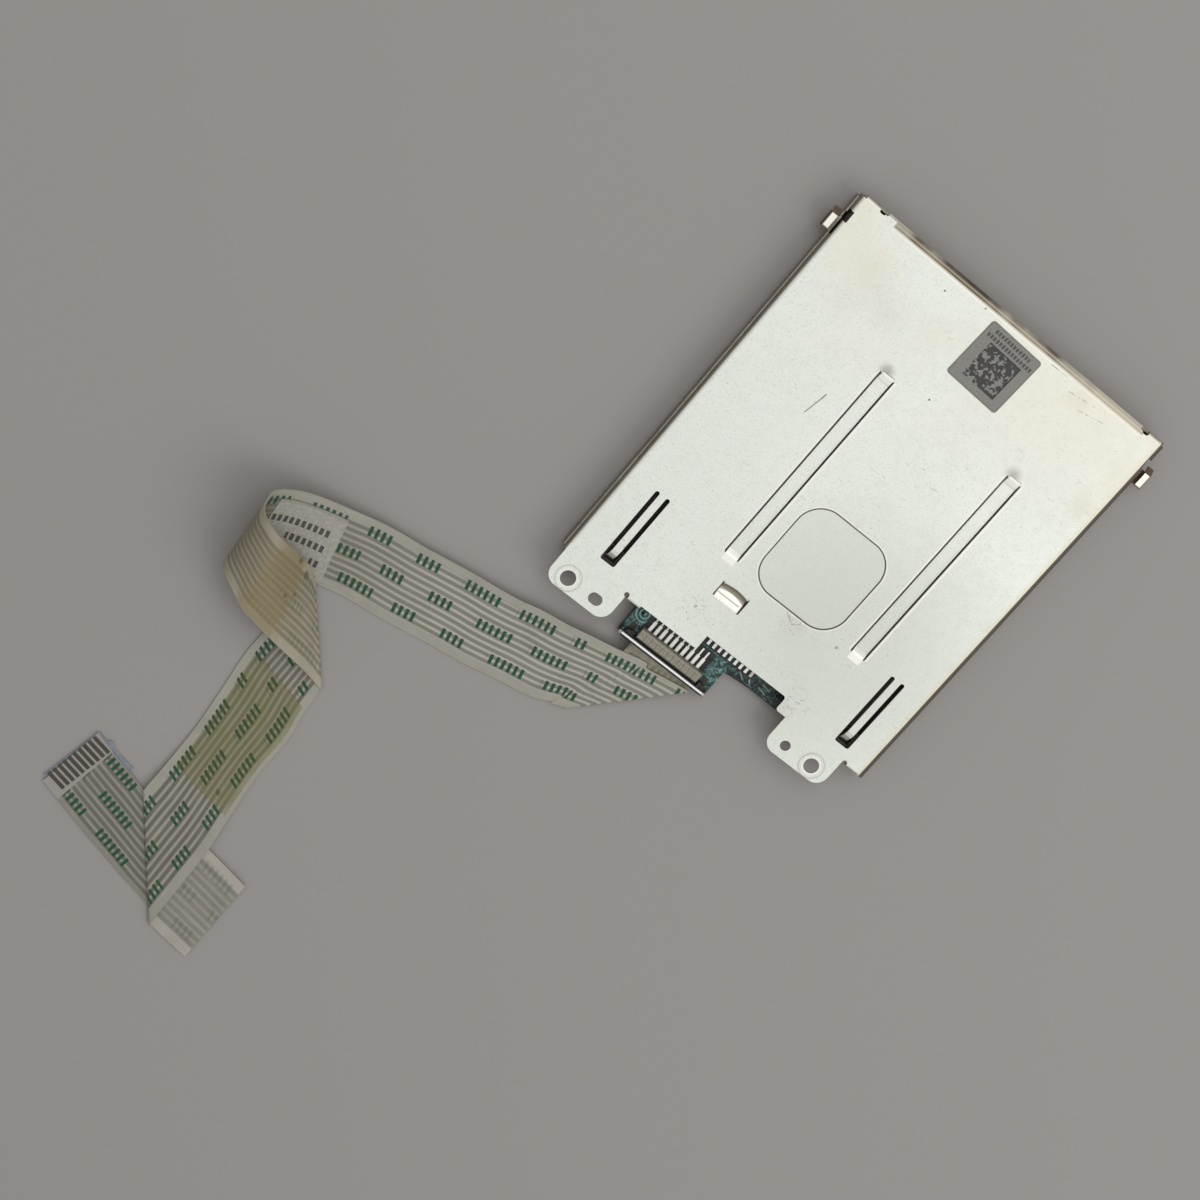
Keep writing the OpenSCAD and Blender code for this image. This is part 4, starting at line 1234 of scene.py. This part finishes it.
def tape_finish():
    """Olive tape with the cable's bands and dashes dimly seen through it."""
    material, tree = finish("aged_tape")
    across, along, side, flat = film_place(tree)
    colour, ink, height = film_look(across, along, side, flat)
    colour = laid(
        colour,
        (spread(noise(flat, 3.0, 3.0), 0.4, 0.6), (112, 110, 58)),
        (ink, (20, 62, 30), 0.75),
        (stain(flat, (8.9, 126.6), 0.6, 0.3, 0.8, 0), (84, 62, 30), 0.8),
    )
    rough = spread(noise(flat, 0.8, 3.0), 0.34, 0.5)
    return coat(material, colour, rough, height, 0.3, 0.05)


def cable_label_finish():
    """White label with three rows of plain dark dashes; its base is painted grey as painted
    shade inside the curl.
    """
    material, tree = finish("white_label")
    across, along, _, flat = film_place(tree)
    grain = noise(flat, 0.5, 3.0)
    colour = laid(
        # The label's base: white painted grey, as painted shade inside the curl
        (152, 150, 140),
        (between(grain, 0.35, 0.7), (168, 166, 156)),
        (between(across, 2.4, 1.7), (120, 116, 100), 0.5),
    )
    for row, start, end in ((4.9, 60.6, 71.0), (7.4, 60.4, 66.5), (9.9, 60.2, 61.6)):
        line = dashes(along, across, start, end, row, 1.1, 0.95, 0.62)
        colour = mark_in(colour, line, (30, 30, 28), 0.85)
    return coat(material, colour, spread(grain, 0.5, 0.65), grain, 0.15, 0.03)


def sheet_film(name, colour, other):
    """A stiffener: a thin, slightly clouded plastic sheet."""
    material, tree = finish(name)
    p = spot(tree)
    grain, fine = noise(p, 1.3, 4.0), noise(p, 0.25)
    colour = laid(
        colour,
        (between(grain, 0.35, 0.7), other),
        (between(fine, 0.6, 0.75), other, 0.4),
    )
    return coat(material, colour, spread(fine, 0.33, 0.5), grain, 0.2, 0.03)


# ---- table and light

FLOOR_HALF = 1.5
FLOOR_TONE = (152, 149, 147)
FLOOR_Z = -0.00003  # just under the object, so that no two faces lie in one plane
LIT_PLACE = (-20, -40, 0)  # what both lamps point at, in millimetres in the frame


def make_floor():
    mesh = bpy.data.meshes.new("table_top")
    h = FLOOR_HALF
    corners = [(-h, -h, FLOOR_Z), (h, -h, FLOOR_Z), (h, h, FLOOR_Z), (-h, h, FLOOR_Z)]
    mesh.from_pydata(corners, [], [(0, 1, 2, 3)])
    floor = bpy.data.objects.new("table_top", mesh)
    bpy.context.scene.collection.objects.link(floor)
    mesh.materials.append(finish("table_finish", Roughness=0.75, Base_Color=FLOOR_TONE)[0])


def lamp(name, place, side, power, colour):
    data = bpy.data.lights.new(name, "AREA")
    data.shape = "SQUARE"
    data.size = side
    data.energy = power
    data.color = colour
    light = bpy.data.objects.new(name, data)
    start, end = Vector(place) * MM, Vector(LIT_PLACE) * MM
    turn = (end - start).to_track_quat("-Z", "Y").to_matrix().to_4x4()
    light.matrix_world = Matrix.Translation(start) @ turn
    bpy.context.scene.collection.objects.link(light)


def make_light():
    world = bpy.data.worlds.new("studio")
    bpy.context.scene.world = world
    world.use_nodes = True
    background = world.node_tree.nodes["Background"]
    background.inputs["Color"].default_value = (1.0, 0.985, 0.965, 1)
    background.inputs["Strength"].default_value = 0.5
    lamp("key_light", (560, 0, 600), 0.55, 2.1, (1.0, 0.99, 0.97))
    lamp("front_light", (-60, 330, 620), 0.5, 1.3, (1.0, 0.995, 0.985))


make_camera()
make_floor()
make_light()

# ---- pieces

HALF = CABLE_THICK / 2
GLUE = 0.04  # under a label or the tape
CLEAR = 0.01  # left between the film and what is glued on it


def glued(name, thick, first, last, in_upper, in_lower):
    """A label or tape on the printed side, between rings first and last."""
    low, high = -HALF - GLUE - thick, -HALF - CLEAR
    return ribbon(name, low, high, first, last, in_upper, in_lower, columns=16)


cable = show(
    ribbon("ribbon_cable", -HALF, HALF, 0, len(RINGS) - 1),
    cable_finish(),
    "cable_film",
    "flat_cable",
)
label = show(
    glued("curl_label", 0.06, 23.05, 26.0, 0.13, 0.03),
    cable_label_finish(),
    "label_white",
    "cable_label",
)
tape = show(
    glued("olive_tape", 0.05, 42.75, 46.25, 0.11, 0.06),
    tape_finish(),
    "tape_olive",
    "tape_patch",
)

tin = plain_metal("tinned_leads", (214, 212, 202), (140, 134, 118))
gold = contact_finish()
pins = plain_metal("bright_terminals", (255, 254, 248), (214, 210, 196), 0.3, 0.35, 0.1)
# Painted shade: the connector's tabs are made dark metal, as they lie in shade
tabs_in_shade = plain_metal("tabs_in_painted_shade", (74, 70, 60), (28, 27, 24), 0.9, 0.5, 0.4)
plate = plain_metal("crystal_can", (206, 204, 198), (150, 148, 140), 0.5, 0.32, 0.9)
strips = plain_metal("dull_strips", (84, 78, 71), (56, 51, 46), 0.8, 0.45, 0.3)
carrier = moulded("carrier_plastic", (36, 34, 31), (58, 54, 48))
chip = moulded("chip_epoxy", (30, 30, 31), (52, 52, 52), 0.6)
ceramic = moulded("capacitor_ceramic", (150, 124, 90), (176, 152, 118), 0.45)
glaze = moulded("resistor_glaze", (26, 26, 28), (60, 60, 62), 0.35)

FINISHES = {
    "top_cover": cover_finish(),
    "bottom_shell": shell_finish(),
    "card_carrier": carrier,
    "circuit_board": board_finish(),
    "switch_contact": tin,
    "switch_blade": tin,
    "connector_housing": housing_finish(),
    "connector_terminals": pins,
    "connector_tabs": tabs_in_shade,
    "connector_slider": slider_finish(),
    "controller_chip": chip,
    "chip_leads": tin,
    "crystal": plate,
    "capacitor_left": ceramic,
    "capacitor_right": ceramic,
    "resistor_left": glaze,
    "resistor_right": glaze,
    "cover_label": label_finish(),
    # The near stiffener is painted olive-grey as painted shade; the far one shows the
    # stiffeners' own blue
    "near_stiffener": sheet_film("stiffener_in_shade", (124, 121, 106), (142, 139, 124)),
    "far_stiffener": sheet_film("blue_stiffener", (122, 130, 140), (142, 149, 157)),
    "far_strips": strips,
}
for k in range(1, 9):
    FINISHES[f"contact_{k}"] = gold
REPLACED = ("flat_cable", "cable_label", "tape_patch")
for name, node in nodes.items():
    if name not in REPLACED:
        node.data.materials.clear()
        node.data.materials.append(FINISHES[name])

[tuple(at(*row.middle())) for row in ROWS]

scene = bpy.context.scene
scene.view_settings.view_transform = "Standard"
